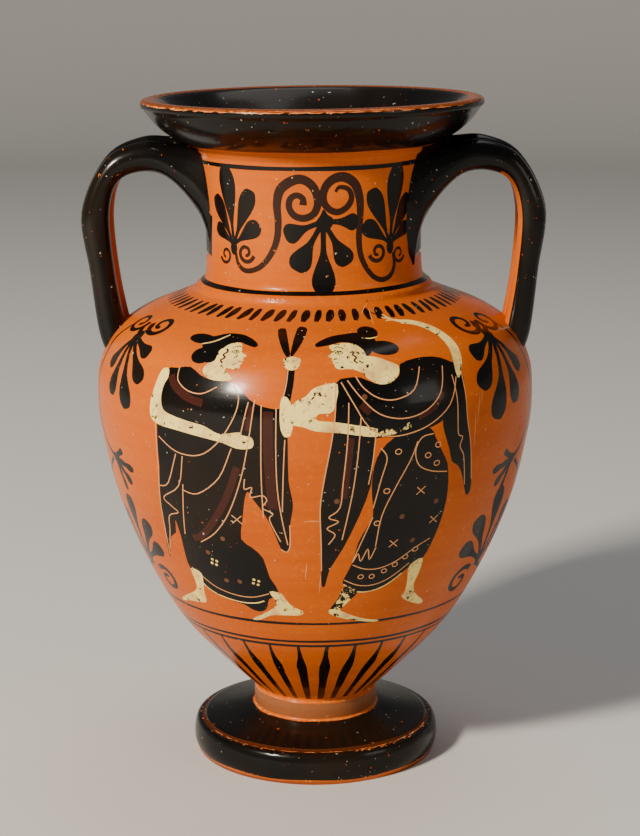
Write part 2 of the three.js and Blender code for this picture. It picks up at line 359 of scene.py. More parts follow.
def stroke(paint, points, widths, smooth=4, flat=False):
    """A brush or graver stroke; widths are one number or one for each point, in millimetres."""
    if not hasattr(widths, "__len__"):
        widths = [widths] * len(points)
    path = [p if flat else unrolled(*p) for p in points]
    path = through([(x, s, w) for (x, s), w in zip(path, widths)], smooth)
    edges = []
    for i, (x, s, w) in enumerate(path):
        before, after = path[max(i - 1, 0)], path[min(i + 1, len(path) - 1)]
        squeeze = radius_along(s) / UNROLL_RADIUS
        dx, ds = (after[0] - before[0]) * squeeze, after[1] - before[1]
        size = math.hypot(dx, ds) or 1.0
        nx, ns = -ds / size * w / 2 / squeeze, dx / size * w / 2
        edges.append(((x + nx, s + ns), (x - nx, s - ns)))
    for (l0, r0), (l1, r1) in zip(edges, edges[1:]):
        shapes.append((paint, [l0, l1, r1, r0]))


def disc(paint, a, z, across, tall=None, turn=0.0, sides=14):
    """A round or oval dab, its sizes in millimetres on the skin."""
    tall = across if tall is None else tall
    x, s = unrolled(a, z)
    squeeze = radius_along(s) / UNROLL_RADIUS
    ring = []
    for i in range(sides):
        t = math.tau * i / sides
        u, v = across / 2 * math.cos(t), tall / 2 * math.sin(t)
        du, dv = u * math.cos(turn) - v * math.sin(turn), u * math.sin(turn) + v * math.cos(turn)
        ring.append((x + du / squeeze, s + dv))
    shapes.append((paint, ring))


def band(paint, low, high, waver=0.25, seed=1):
    """A painted ring right round the pot between two distances along the skin."""
    rng = random.Random(seed)
    phases = [(rng.uniform(0, math.tau), rng.choice((2, 3, 5, 7, 9))) for _ in range(6)]

    def edge(s, waves):
        line = []
        for i in range(73):
            a = -180 + 5 * i
            off = sum(math.sin(math.radians(a) * n + f) for f, n in waves) * waver / 3
            line.append((a * MM_PER_DEGREE, s + off))
        return line

    shapes.append((paint, edge(low, phases[:3]) + edge(high, phases[3:])[::-1]))


def around(centre, points, mirror=1):
    """Points as millimetres on the skin from a centre, turned into unrolled points."""
    x, s = unrolled(*centre)
    squeeze = radius_along(s) / UNROLL_RADIUS
    return [(x + mirror * u / squeeze, s + v) for u, v in points]


def petal(paint, centre, angle, length, wide, base=0.0, stem=1.1, bulb=0.42):
    """A palmette leaf: a thin stalk that swells from the bulb share on; angle 0 points up."""
    sn, cs = math.sin(angle), math.cos(angle)
    shares = [(0, stem / 2), (bulb * 0.6, stem / 2 + 0.1), (bulb, stem / 2 + 0.5)]
    for along, swell in ((0.28, 0.66), (0.52, 0.94), (0.72, 1.0), (0.88, 0.78), (0.97, 0.42)):
        shares.append((bulb + (1 - bulb) * along, wide / 2 * swell))
    side = [(base + (length - base) * t, w) for t, w in shares]
    outline = []
    for t, w in side + [(t, -w) for t, w in side[::-1]]:
        outline.append((t * sn + w * cs, t * cs - w * sn))
    shapes.append((paint, rounded(around(centre, outline), 2)))


def spiral(paint, centre, start, turns, big, small, width, mirror=1, steps=26):
    """A volute that winds in from its outer end; start is the outer end's angle."""
    points = []
    for i in range(steps + 1):
        t = i / steps
        r = big + (small - big) * t
        angle = start + math.tau * turns * t
        points.append((r * math.cos(angle), r * math.sin(angle)))
    widths = [width * (1 - 0.25 * i / steps) for i in range(steps + 1)]
    stroke(paint, around(centre, points, mirror), widths, smooth=1, flat=True)


def moved(points, by):
    return [(a + by, z) for a, z in points]


# Bands and ground lines

def paint_bands():
    foot_low, foot_edge = along_at(2.2), along_at(FOOT_SIDE_HEIGHT + 0.1)
    band(GROOVE, foot_edge - 0.5, along_at(FOOT_SIDE_HEIGHT + 1.45) + 0.5, 0.2, 2)
    band(BLACK, foot_low, foot_edge + 0.9, 0.5, 3)
    band(BLACK, along_at(FOOT_SIDE_HEIGHT + 1.3), along_at(FOOT_HEIGHT) - 0.6, 0.4, 4)
    band(RED_ON_CLAY, along_at(FOOT_HEIGHT) + 1.2, along_at(COLLAR_TOP_Z) - 1.9, 0.3, 5)
    for low, high, waver, seed in ROUND_LINES:
        band(BLACK, along_at(low), along_at(high), waver, seed)
    lip_edge = along_at(MOUTH_TOP_Z - LIP_FACE_HEIGHT * LIP_BARE_SHARE)
    band(WASH, lip_edge - 1, float(skin_along[-1]), 0.0, 12)
    band(BLACK, along_at(NECK_TOP_Z + 2.6), lip_edge, 0.3, 11)


def paint_rays(count=31):
    top, bottom = 67.6, 30.6
    for i in range(count):
        a = -180 + 360 / count * i
        widths = [1.3, 1.6, 2.4, 4.3, 3.9, 3.4, 2.8, 2.3]
        shares = [0, 0.08, 0.2, 0.36, 0.5, 0.66, 0.84, 1.0]
        slant, swell = hand.uniform(-0.8, 0.8), hand.uniform(0.86, 1.1)
        points = [(a + slant * t + hand.uniform(-0.25, 0.25), top + (bottom - top) * t) for t in shares]
        stroke(BLACK, points, [w * swell * hand.uniform(0.92, 1.08) for w in widths], smooth=2)


def paint_tongues(count=72):
    for i in range(count):
        a = -180 + 360 / count * (i + hand.uniform(0.42, 0.58))
        tilt = hand.uniform(0.5, 1.5)
        points = [(a + tilt, 214.7), (a + tilt * 0.5, 213.9), (a, 212.7), (a - tilt, 211.2)]
        thick = hand.uniform(0.85, 1.15)
        stroke(BLACK, points, [1.5, 2.9 * thick, 3.3 * thick, 1.8], smooth=3)


def paint_handle_roots():
    """The brush ran on below each handle's root."""
    low, high = 232, 250
    for turn in (-90, 90):
        fill(BLACK, moved([(-22, low), (22, low), (25, high), (-25, high)], turn), 0)


# The chain of volutes and palmettes on the neck

def neck_chain(turn):
    """One side's chain; turn is where its middle lies."""
    def at(points):
        return moved(points, turn)

    stroke(THIN_BLACK, at([
        (-43.2, 236), (-41.6, 231.6), (-37.4, 229), (-31.9, 229.3), (-26.4, 231.6), (-21.4, 236.4),
        (-17.8, 243), (-16.8, 250.6), (-17.2, 258), (-15.2, 264.4), (-9, 268.4), (-3.4, 268.8),
        (1.6, 265.4), (3.6, 259.4), (1.6, 254.4), (-3.5, 252.4), (-8.4, 253.6), (-10.9, 257),
        (-10.2, 260.6), (-7, 262.2), (-3.9, 260.8), (-3.8, 258),
    ]), [
        1.6, 1.9, 2.2, 2.3, 2.5, 2.7, 3, 3.2, 3.7, 4.2, 4.3, 4, 3.7, 3.4, 3.2, 3.1, 3, 2.9, 2.8, 2.7,
        2.7, 3.2,
    ])
    stroke(THIN_BLACK, at([
        (46.8, 235.6), (47.6, 230), (44.6, 225.8), (39, 224.4), (33.6, 226), (29, 230.4), (26, 236),
        (25, 243), (25.6, 252), (25.2, 260), (22.4, 266.4), (17, 269.6), (11.4, 269), (7.4, 265.6),
        (6.2, 260.6), (8.6, 256.6), (13.4, 254.8), (18.4, 256.8), (20.8, 260.6), (19, 264.4),
        (14.4, 265.4), (12.4, 263.4),
    ]), [
        1.8, 2, 2.2, 2.3, 2.3, 2.4, 2.6, 2.8, 3.1, 3.7, 4.1, 4.2, 4, 3.6, 3.2, 3, 2.9, 2.8, 2.6, 2.2,
        1.8, 1.2,
    ])
    fill(BLACK, at([
        (2.6, 250.8), (4.6, 253.4), (6.4, 256.2), (8.6, 253.8), (11, 252.4), (11.2, 249.6),
        (8.6, 247.2), (6, 246.6), (3.6, 247.8),
    ]))
    heart = (6.2 + turn, 251)
    hanging = (
        (-1.93, 18.0, 8.8), (-2.62, 24.5, 9.8), (math.pi, 31.6, 10.2), (2.62, 22.0, 8.8),
        (1.62, 15.5, 7.4),
    )
    for angle, length, wide in hanging:
        petal(BLACK, heart, angle, length, wide, 1.5, 2.1)
    for side in (-1, 1):
        root = (44.6 * side + turn, 239.6)
        leaves = [
            (0.09, 34.5, 10.0), (-0.42, 27.0, 8.4), (-0.98, 17.5, 8.0), (0.52, 24.0, 8.0),
            (1.02, 14.5, 6.4),
        ]
        for angle, length, wide in leaves:
            petal(BLACK, root, angle * side, length, wide, 0, 1.5, 0.3)
        disc(BLACK, root[0], 238.2, 4.2, 6.4)
        spiral(THIN_BLACK, (root[0] - 8.4 * side, 236.6), 3.4, 1.25, 4.4, 1.0, 1.9, side)
        spiral(THIN_BLACK, (root[0] + 6.6 * side, 234.8), -0.3, -1.2, 4.0, 1.0, 1.5, side)


# Palmettes, tendrils and a bud beside each handle

def handle_ornament(turn, side, size=1.0):
    """One quarter of the ornament round a handle; side says which way its scene lies."""
    def at(points):
        return [(turn + side * a, z) for a, z in points]

    heart = (turn + side * 28.6, 201)
    disc(BLACK, heart[0], heart[1], 7.0, 7.4)
    fans = ((-1.2, 21.5, 8.2), (-0.76, 30.5, 9.0), (-0.32, 39.0, 10.4), (0.1, 33.0, 8.8), (0.55, 23.0, 7.8))
    for lean_out, length, wide in fans:
        petal(BLACK, heart, math.pi + side * lean_out, length * size, wide * size**1.5, 0, 2.2, 0.5)
    spiral(BLACK, (turn + side * 33.6, 206.2), 3.3, 1.3, 8.2 * size, 1.6, 2.8, side)
    spiral(BLACK, (turn + side * 20.6, 205.2), 0.2, -1.3, 8.0 * size, 1.6, 2.6, side)
    stroke(BLACK, at([(29, 201.6), (30, 204), (28.2, 206)]), [3.0, 2.8, 2.8])
    stroke(BLACK, at([(27.6, 202), (25.8, 203.6), (25.6, 205.6)]), [3.0, 2.8, 2.6])
    stroke(BLACK, at([
        (17.5, 204), (14.6, 197), (12.6, 186), (12.4, 172), (14.4, 160), (18.5, 151), (24, 146.5),
    ]), [1.6, 1.9, 2.1, 2.1, 2.1, 2.1, 2.4])
    bud = (turn + side * 24.6, 146.6)
    for angle, length, wide in ((2.2, 17.0, 4.2), (1.72, 18.0, 3.8), (2.72, 16.0, 3.6), (1.1, 11.0, 3.4)):
        petal(BLACK, bud, side * angle, length, wide, 0, 2.2)
    disc(BLACK, bud[0], bud[1], 5.2, 4.6)
    tendril = [(22, 145), (16, 139), (10, 129), (7, 116), (7.6, 103), (12, 94.6), (18, 93), (23, 96.6)]
    stroke(BLACK, at(tendril), [2.0, 1.9, 1.8, 1.8, 1.8, 1.9, 2.0, 2.2])
    root = (turn + side * 24, 98.6)
    disc(BLACK, root[0], root[1], 6.8, 7.2)
    fans = ((0.14, 39.0, 9.0), (0.6, 32.5, 9.0), (1.06, 26.0, 8.8), (-0.36, 30.0, 8.0), (-0.86, 20.0, 7.2))
    for angle, length, wide in fans:
        petal(BLACK, root, side * angle, length * size, wide * size, 0, 2.2, 0.5)
    spiral(BLACK, (turn + side * 33.4, 91.6), 2.4, -1.25, 7.8 * size, 1.6, 2.8, side)


# The two draped women: black dress, white skin, red folds and incised lines

def incised_ring(a, z, size=2.3):
    x, s = unrolled(a, z)
    angles = [math.tau * i / 9 for i in range(10)]
    ring = [(x + size / 2 * math.cos(t), s + size / 2 * math.sin(t)) for t in angles]
    stroke(INCISED, ring, 0.42, smooth=1, flat=True)


def cross_mark(a, z, size=3.0):
    x, s = unrolled(a, z)
    arm = size / 2
    for sign in (-1, 1):
        stroke(INCISED, [(x - arm, s - sign * arm), (x + arm, s + sign * arm)], 0.4, 1, True)


def rosette(a, z, size=1.5):
    """Four white dots."""
    x, s = unrolled(a, z)
    dot = size * 0.48
    for i in range(4):
        t = math.tau * i / 4 + 0.5
        cx, cs = x + size * math.cos(t), s + size * math.sin(t)
        ring = [(cx + dot * math.cos(k), cs + dot * math.sin(k)) for k in (0, 1.05, 2.1, 3.15, 4.2, 5.25)]
        shapes.append((WHITE, ring))


def drapery(at, bands, folds):
    """Red bands, each with its width, and incised folds over them."""
    for points, width in bands:
        stroke(RED, at(points), width)
    for points in folds:
        stroke(INCISED, at(points), FOLD_LINE_WIDTH)


def dabs(paint, places, across, tall=None, turn=0.0, sides=14):
    """The same dab at every place."""
    for a, z in places:
        disc(paint, a, z, across, tall, turn, sides)


def standing_woman(at):
    """Faces right: mantle with a pointed end in front and one behind, forearm across the waist."""
    fill(BLACK, at([
        (-41.5, 191), (-37, 193.6), (-33, 194.6), (-29.5, 192), (-26, 190.6), (-22, 190.6),
        (-19, 189.4), (-17, 187.2), (-15, 184), (-12, 181.6), (-8.5, 180.6), (-5.8, 179.6), (-5.4, 165),
        (-5.4, 150), (-4.6, 142), (-4.6, 137), (-5.4, 130), (-5.6, 120), (-6.6, 117), (-8.2, 118.4),
        (-9.4, 124), (-11, 131), (-12.6, 136), (-14.8, 141), (-16, 144.4), (-17, 141), (-18.2, 131),
        (-19.3, 122), (-16.4, 118.2), (-13.6, 113.4), (-12.4, 104), (-10.2, 96.4), (-15.3, 91.6),
        (-19.5, 89.6), (-24.2, 89.4), (-31.6, 91.4), (-36, 95), (-40.2, 102.6), (-40.4, 109),
        (-39.8, 118), (-40.2, 126), (-41.4, 119.6), (-44, 117), (-46.4, 111), (-48.4, 105),
        (-47.6, 112), (-45.6, 121), (-44.4, 136), (-42.4, 150), (-41.8, 163), (-41.6, 172),
    ]), 2)
    fill(BLACK, at([
        (-31, 92), (-27.2, 89.6), (-22.9, 88.4), (-20.4, 86.4), (-17.6, 85.6), (-15.2, 87.4),
        (-14.2, 91), (-13.4, 95.6), (-18, 94.6), (-24, 93),
    ]))
    fill(WHITE, at([
        (-42.4, 191.6), (-40.2, 192.8), (-39.4, 189.6), (-40.2, 186), (-40.4, 181), (-39.6, 176.4),
        (-37, 174.4), (-31, 172.6), (-27, 171.6), (-23.2, 169), (-20.4, 169.4), (-17.4, 170.2),
        (-16.6, 169), (-14.2, 168.2), (-14.2, 164), (-18.1, 163.2), (-21.9, 165.2), (-27.5, 166.6),
        (-35.3, 168.2), (-41, 169.2), (-43.8, 171.6), (-44.2, 177), (-43.4, 184),
    ]))
    fill(WHITE, at([
        (-28.8, 195.4), (-26.4, 198.4), (-23, 196.6), (-22.4, 194.4), (-20.9, 192.8), (-20.4, 191.2),
        (-23, 190.4), (-26.6, 190.8), (-28.8, 193),
    ]))
    face = [
        (-26.6, 199), (-26, 202.4), (-23.6, 204), (-20.9, 204.3), (-19.9, 203), (-19.5, 201.7),
        (-18.6, 200.9), (-17.5, 200.2), (-18.5, 199.5), (-18.1, 198.8), (-18.4, 198.3), (-18.2, 197.7),
        (-18.7, 196.9), (-18.7, 195.8), (-20, 195.1), (-22.4, 195.6), (-24.4, 194.6), (-26.4, 196),
    ]
    fill(WHITE, at(face), 2)
    fill(BLACK, at([
        (-33.4, 203.4), (-33, 205.4), (-30.8, 205.8), (-26.9, 207), (-22, 207), (-18.4, 206),
        (-15.7, 204.4), (-15.9, 203.2), (-18.5, 203.7), (-21.3, 204.5), (-24, 203.8), (-25.4, 202.4),
        (-26.2, 200.2), (-26.4, 197.8), (-28.6, 196.8), (-31.2, 198.4), (-32, 201.4),
    ]))
    dabs(BLACK, at([(-34.6, 204.6)]), 13.0, 6.2, -0.05, 18)
    dabs(BLACK, at([(-30.9, 199.4)]), 10.4, 8.6, 0.2, 18)
    stroke(WHITE, at([(-33.4, 202.9), (-29.6, 204.2), (-26, 206.6)]), [0.5, 0.8, 0.5])
    dabs(WHITE, at([(-25.4, 200.8)]), 2.8, 4.8)
    lock = [(-24.3, 202.2), (-23.6, 201.2), (-24.5, 200.2), (-23.7, 199.2), (-24.6, 198.2), (-23.9, 197.2)]
    stroke(RED, at(lock), 0.85)
    generic_face_lines(*at([(-21.1, 201.4), (-18.5, 198.2)]), 1)
    bands = [
        ([(-38.5, 190.5), (-36.5, 186.4), (-32, 182.6), (-27.5, 181)], 3.4),
        ([(-18.4, 155), (-22, 141), (-27, 128.6), (-31.8, 121), (-35, 119)], 3.2),
        ([(-10.2, 179.5), (-10.2, 160), (-10, 148), (-9.7, 137)], 4.2),
        ([(-14.4, 181.5), (-15.4, 171)], 2.2),
    ]
    folds = [
        [(-36.5, 193.8), (-36, 189), (-32.4, 185.4), (-28, 184.8), (-24, 188)],
        [(-19.6, 189.4), (-17.8, 184.5), (-18.8, 176.5), (-23, 165.4), (-28.6, 158.6), (-35.5, 158.6),
         (-41.2, 164)],
        [(-15.2, 183), (-17.2, 168.4)],
        [(-13.6, 184), (-15.2, 166), (-17.6, 150), (-21.8, 134), (-27, 123.4), (-32.6, 117.6)],
        [(-11.9, 182), (-12, 165), (-12.3, 149), (-12.4, 133)],
        [(-8.2, 181), (-8.4, 150), (-7.7, 135), (-6.3, 120.6)],
        [(-6.1, 168), (-6.8, 150), (-7.3, 136)],
        [(-19.6, 163), (-23.6, 149.4), (-30.5, 140.8), (-35.4, 141.4)],
        [(-35.8, 157.6), (-40, 143.4), (-43.6, 141)],
        [(-33.8, 157), (-36.4, 143), (-42.8, 136), (-40.6, 132.6), (-38.4, 130), (-42.2, 127.4),
         (-43.8, 120), (-46.6, 110.4)],
        [(-34.9, 144), (-36.3, 132), (-37.8, 120)],
        [(-16.6, 150), (-16.9, 145.4), (-14.9, 146.4), (-15.5, 142), (-12.2, 143), (-11.2, 140.8),
         (-12.5, 137.4), (-9.8, 135), (-10.8, 132), (-8.2, 122)],
        [(-42.2, 170), (-42.2, 160), (-43, 148), (-44.6, 134), (-45.8, 121), (-47.8, 107)],
        [(-8.3, 118.4), (-6.7, 117.2), (-5.7, 120.4), (-5.5, 130)],
        [(-39.4, 103.4), (-36.2, 99.8), (-31.6, 95.4), (-25, 93), (-19, 93), (-13.4, 95.6)],
    ]
    drapery(at, bands, folds)
    stroke(WHITE, at([
        (-40.2, 102.4), (-36, 94.8), (-31.4, 91.4), (-24.2, 89.6), (-18.6, 90), (-15.4, 91.6),
    ]), 0.6)
    fill(WHITE, at([
        (-40, 102.6), (-36.2, 101.4), (-36.8, 96), (-38, 91), (-38.8, 86), (-42, 84.6), (-47, 83.8),
        (-53.4, 82), (-52.6, 84), (-46, 88), (-41.4, 91.6), (-40.2, 96),
    ]))
    fill(WHITE, at([
        (-13.2, 96.6), (-9.6, 96.2), (-8.2, 93), (-6.4, 89.8), (-3, 87), (-4, 85), (-9.7, 84.6),
        (-14.2, 84), (-18.5, 81), (-21.3, 81), (-17.6, 84), (-13.6, 87.2), (-11.4, 91),
    ]))
    for place in at([(-29.6, 108.6), (-17, 101)]):
        rosette(*place)
    dabs(FADED_RED, at([(-25, 121), (-22.4, 100.4), (-27, 100), (-31, 113)]), 2.3)
    for place in at([(-19.8, 131)]):
        cross_mark(*place, 4)


def generic_face_lines(eye, mouth, way):
    """A plain almond eye with a dot, a brow and one short line for the mouth."""
    (a, z), (ma, mz) = eye, mouth
    stroke(BLACK, [(a - 1.3 * way, z), (a, z + 0.5), (a + 1.1 * way, z - 0.1)], [0.3, 0.5, 0.3])
    stroke(BLACK, [(a - 1.3 * way, z), (a, z - 0.5), (a + 1.1 * way, z - 0.1)], [0.3, 0.4, 0.3])
    disc(BLACK, a + 0.1 * way, z, 0.9)
    stroke(BLACK, [(a - 1.6 * way, z + 1.2), (a, z + 1.9), (a + 1.3 * way, z + 1.5)], [0.3, 0.55, 0.3])
    stroke(BLACK, [(ma - 1.0 * way, mz), (ma, mz)], 0.35)


def bending_woman(at):
    """Faces left and stoops: arms out to the staff, the other arm raised, long sleeve ends."""
    fill(BLACK, at([
        (20.8, 167.8), (25.3, 169.4), (30.4, 170), (32, 165.6), (34, 159.6), (36.2, 153.4), (37.3, 145),
        (37.6, 136), (36.9, 126), (35.6, 117), (33.8, 110), (29.8, 106.8), (27.6, 104), (23.6, 99.2),
        (19, 96.6), (14, 96.8), (9.7, 100.6), (9.6, 104), (11.6, 111.6), (12.8, 121.5), (15, 129),
        (16.2, 134), (15.7, 141), (15.3, 148), (15.7, 156), (17.2, 162.4),
    ]), 2)
    fill(BLACK, at([
        (6.4, 190.6), (9.5, 192.6), (13, 192.4), (16.4, 190), (20, 189.6), (23.2, 192.4), (24, 196.4),
        (29, 198), (34.5, 197.8), (38.8, 195.6), (42, 191), (40.2, 185), (38, 179), (35, 173.4),
        (31, 170.4), (25.3, 168.6), (21, 167.4), (16, 167.8), (15.4, 158), (15.1, 147.4), (12.6, 134),
        (8.7, 118.8), (5.2, 108.5), (4.1, 100.6), (3, 100.8), (2.8, 110), (2.7, 124), (2.4, 138),
        (3.7, 153.4), (5.1, 166.3), (6.1, 178.8),
    ]), 2)
    fill(BLACK, at([
        (37.6, 195.6), (42.2, 191.4), (41.8, 184), (42, 172), (43.1, 163), (44.2, 154.6), (45.3, 146),
        (46, 138.8), (44.8, 136.6), (43.7, 139.4), (42.3, 144.6), (40.8, 149.6), (39, 152.4),
        (37.5, 154), (36.2, 160), (34.6, 167), (34, 173), (35.4, 182),
    ]), 2)
    fill(WHITE, at([
        (12, 198.4), (14, 200.2), (18, 199.6), (21, 197.8), (23.4, 196), (23, 192.6), (20.6, 189.9),
        (17.6, 189.5), (15, 191.6), (13.2, 194.4), (11, 196),
    ]))
    face = [
        (5.4, 203.9), (9, 204.7), (13, 204.2), (15.2, 201.6), (14.6, 198.2), (12.6, 195.8),
        (9.6, 195.9), (7.6, 195.8), (6.5, 196.6), (6.4, 197.6), (5.9, 198.1), (6.2, 198.6),
        (5.7, 199.2), (6.1, 199.8), (4.8, 200.5), (5.8, 201.6), (5.9, 202.8),
    ]
    fill(WHITE, at(face), 2)
    fill(BLACK, at([
        (1.9, 203.6), (1.5, 204.6), (3.6, 205.9), (6.8, 207), (11.1, 207.5), (15, 207.7), (19, 206.4),
        (19.6, 204.4), (17.4, 201.6), (15.6, 200), (14.8, 202.4), (12.6, 204.3), (9, 204.9),
        (5.4, 204.1),
    ]))
    dabs(BLACK, at([(18.4, 207.7)]), 8.8, 9.0, 0.0, 18)
    dabs(BLACK, at([(21.2, 202.5)]), 13.0, 8.6, -0.15, 18)
    stroke(WHITE, at([(15.8, 206.1), (18.2, 205.7), (20.8, 206.1)]), [0.4, 0.6, 0.4])
    dabs(WHITE, at([(13.4, 200.6)]), 2.8, 4.4)
    lock = [(12.3, 201.8), (11.7, 200.8), (12.5, 199.8), (11.8, 198.8), (12.6, 197.8)]
    stroke(RED, at(lock), 0.8)
    generic_face_lines(*at([(7.9, 201.6), (6.5, 198.2)]), -1)
    arms = [
        (6.9, 190.2), (3, 190), (0.7, 188.6), (-1.2, 185.6), (-4.4, 182.4), (-4.6, 175), (-1.5, 173.3),
        (1.4, 171.6), (7.2, 170.7), (13, 169), (16.6, 168.6), (17.4, 171), (14, 172.8), (11.5, 173.6),
        (6.5, 175.2), (2, 176), (1.4, 177.4), (2.4, 178.9), (5.6, 180),
    ]
    fill(WHITE, at(arms), 3)
    stroke(FADED_WHITE, at([(16.4, 170), (20.4, 170.4), (25, 172.4)]), [3.4, 3.0, 2.4])
    raised = [
        (40.6, 188.6), (41.2, 191.4), (42, 195), (43, 200), (43, 203.2), (41.8, 206), (39.6, 208),
        (36.4, 209.3), (32.6, 209.8),
    ]
    stroke(WHITE, at(raised), [1.2, 3.4, 4.8, 5.2, 5.0, 4.6, 4.2, 3.8, 3.2])
    stroke(BLACK, at([(33.2, 209.6), (29.5, 211.2), (26.4, 212.2), (22.6, 214.4)]), [1.0, 0.9, 0.8, 0.6])
    for tip in ((27.6, 210.4), (27.2, 211.6), (28.4, 212.4)):
        stroke(WHITE, at([(33.4, 209.8), (30.4, 210.6), tip]), [1.9, 1.4, 0.7], 2)
    bands = [
        ([(9.8, 168.5), (8.8, 152), (8.2, 142)], 3.2),
        ([(34.6, 184), (31.6, 178.4), (27, 175)], 2.6),
        ([(12.4, 182), (14.6, 178.6)], 3.0),
    ]
    folds = [
        [(11.6, 193), (13.4, 188.4), (17, 184.2), (21.5, 183.2), (26.6, 186.4), (29.4, 194.8)],
        [(9.4, 191.6), (12.6, 184.6), (17, 177.8), (23, 175.2), (29.2, 177.4), (34, 184), (36.4, 194)],
        [(7.8, 191), (10.6, 182.6), (14.2, 172.8), (19, 168.4), (25, 168.8), (31, 172), (36.4, 178.6),
         (39.8, 189)],
        [(9.4, 183), (9, 168), (8.1, 150), (7.4, 138), (4.6, 133.6), (7.2, 131.6), (4.2, 128.6),
         (6.4, 125.6), (4.7, 121)],
        [(12.3, 177), (11.5, 160), (10.4, 143), (8.3, 123)],
        [(16, 171), (15.3, 158), (14.5, 148)],
        [(17.2, 163.6), (18.9, 159), (17.7, 150), (16.1, 137)],
        [(26.9, 165), (25.1, 157), (21.5, 145), (18.6, 133), (17.8, 119)],
        [(31.4, 167.4), (28.1, 166.4), (26.4, 161), (27.6, 154.6), (31.4, 151.2), (36.4, 149.8)],
        [(38.6, 190), (38.8, 178), (38.9, 166), (40.4, 164), (39.7, 160), (41.2, 156), (42.3, 149),
         (43.2, 142)],
        [(42, 190.6), (41.7, 184), (41.9, 172), (43, 163), (44.1, 154.4), (45.5, 144)],
        [(6.4, 190), (6, 178), (5, 166), (3.6, 153), (2.4, 138), (2.7, 122), (2.9, 108)],
        [(11.8, 110.6), (15.5, 108.2), (20, 108), (25, 110.8), (30, 116), (34.6, 119.6)],
        [(9.7, 103.2), (14, 100.2), (19, 99.8), (24, 102.6), (29.4, 108.8)],
        [(16.2, 133), (11.7, 112.4), (13.1, 116), (14, 112.2), (15.7, 118), (16.5, 112.8), (18, 118.6)],
    ]
    drapery(at, bands, folds)
    stroke(WHITE, at([(9.6, 101), (14, 96.9), (19, 96.8), (23.6, 99.4), (27.8, 104.2)]), 0.55)
    hem_rings = [(14.6, 104.4), (18, 104.2), (21.6, 106.4), (24.7, 109), (27.6, 112.2), (30.4, 115.4)]
    dress_rings = [(21.8, 161.4), (30, 158.4), (32.8, 162.4), (32.8, 154.4), (19.4, 144.4), (17.5, 130)]
    for place in at(hem_rings + dress_rings):
        incised_ring(*place)
    for place in at([(29, 143), (34.4, 128.6), (23, 119.6)]):
        cross_mark(*place, 3.4)
    dabs(FADED_RED, at([(34.2, 137), (24.4, 132), (28.8, 120), (6.6, 141), (13.4, 185)]), 2.4)
    fill(FADED_WHITE, at([
        (10.2, 100), (14.2, 96.8), (12, 92.4), (9.6, 88.4), (8.8, 86), (6.2, 86.2), (6, 88.6),
        (8.1, 93.4),
    ]))
    fill(WHITE, at([
        (9.2, 87.4), (13.9, 84.2), (19, 81.8), (23.8, 80.4), (22, 79.8), (15, 81.4), (9, 83.8),
        (5.8, 86), (6, 88.2),
    ]))
    fill(WHITE, at([
        (29.8, 107.4), (33.8, 110.2), (34, 103), (33.4, 97), (35.6, 91.6), (40, 87), (39.4, 85.4),
        (35, 87.4), (30.4, 91), (30.8, 94.6), (30.4, 100),
    ]))


def staff(at):
    """A forked torch that both women hold."""
    fill(BLACK, at([
        (-11, 208.8), (-9.4, 209.3), (-8.1, 208.7), (-5.5, 201.3), (-6.6, 200.5), (-9, 204.6),
    ]), 2)
    fill(BLACK, at([
        (-4.6, 209.2), (-2.8, 209.8), (-1.1, 209), (-2.5, 205), (-4.8, 200.5), (-5.5, 201.6),
    ]), 2)
    stroke(BLACK, at([(-4.9, 197), (-5.2, 190), (-6, 181)]), [3.2, 3.4, 3.0])
    stroke(INCISED, at([(-5.7, 196), (-6, 190), (-6.7, 184.5)]), 0.45)
    (a, z), = at([(-4.8, 198.3)])
    disc(WHITE, a, z, 6.8, 6.8, 0, 14)
    for da in (-1.6, 1.5):
        disc(WHITE, a + da, z + 0.9, 2.6, 2.8)
    fill(WHITE, at([
        (-7.3, 181), (-6.9, 185), (-5.7, 185.4), (-4.5, 182.2), (-3.8, 177.4), (-4.6, 170.4),
        (-5.4, 169.2), (-6.4, 169.6), (-7.2, 173.4),
    ]))


def paint_scene(turn, flip=1):
    def at(points):
        return [(turn + flip * a, z) for a, z in points]

    standing_woman(at)
    bending_woman(at)
    staff(at)


def paint_wear():
    """Old chips in the slip and short scratches."""
    for _ in range(46):
        a, z = hand.uniform(-180, 180), hand.choice((hand.uniform(70, 215), hand.uniform(222, 272)))
        disc(INCISED, a, z, hand.uniform(0.3, 0.8), hand.uniform(0.3, 0.8), 0, 6)
    for a, z, da, dz in ((-2, 131.6, 4.6, 0.4), (45.4, 168, 1.4, 13), (44.6, 158, 0.3, 16), (47, 176, 1, 6),
                         (20, 213, 6, 3), (22, 209.6, 3, 5), (-1.8, 104, 0.6, 8), (2.4, 97, 0.3, 9)):
        stroke(INCISED, [(a, z), (a + da / 2, z + dz / 2 + 0.3), (a + da, z + dz)], [0.12, 0.4, 0.12], 2)


def chipped_edge(s, count, reach, across, seed):
    """Small chips and rubbed spots along a turned edge, thicker where reach says."""
    rng = random.Random(seed)
    for _ in range(count):
        a = rng.gauss(reach[0], reach[1]) if rng.random() < 0.6 else rng.uniform(-180, 180)
        a = (a + 180) % 360 - 180
        size = rng.uniform(*across)
        x, tall, wide = a * MM_PER_DEGREE, size * rng.uniform(0.4, 0.8), size * rng.uniform(0.9, 2.2)
        middle = s + rng.uniform(-0.5, 0.5)
        ring = []
        for k in range(7):
            t, swell = math.tau * k / 7, rng.uniform(0.6, 1.2)
            ring.append((x + wide / 2 * math.cos(t) * swell, middle + tall / 2 * math.sin(t) * swell))
        shapes.append((CHIPPED, ring))


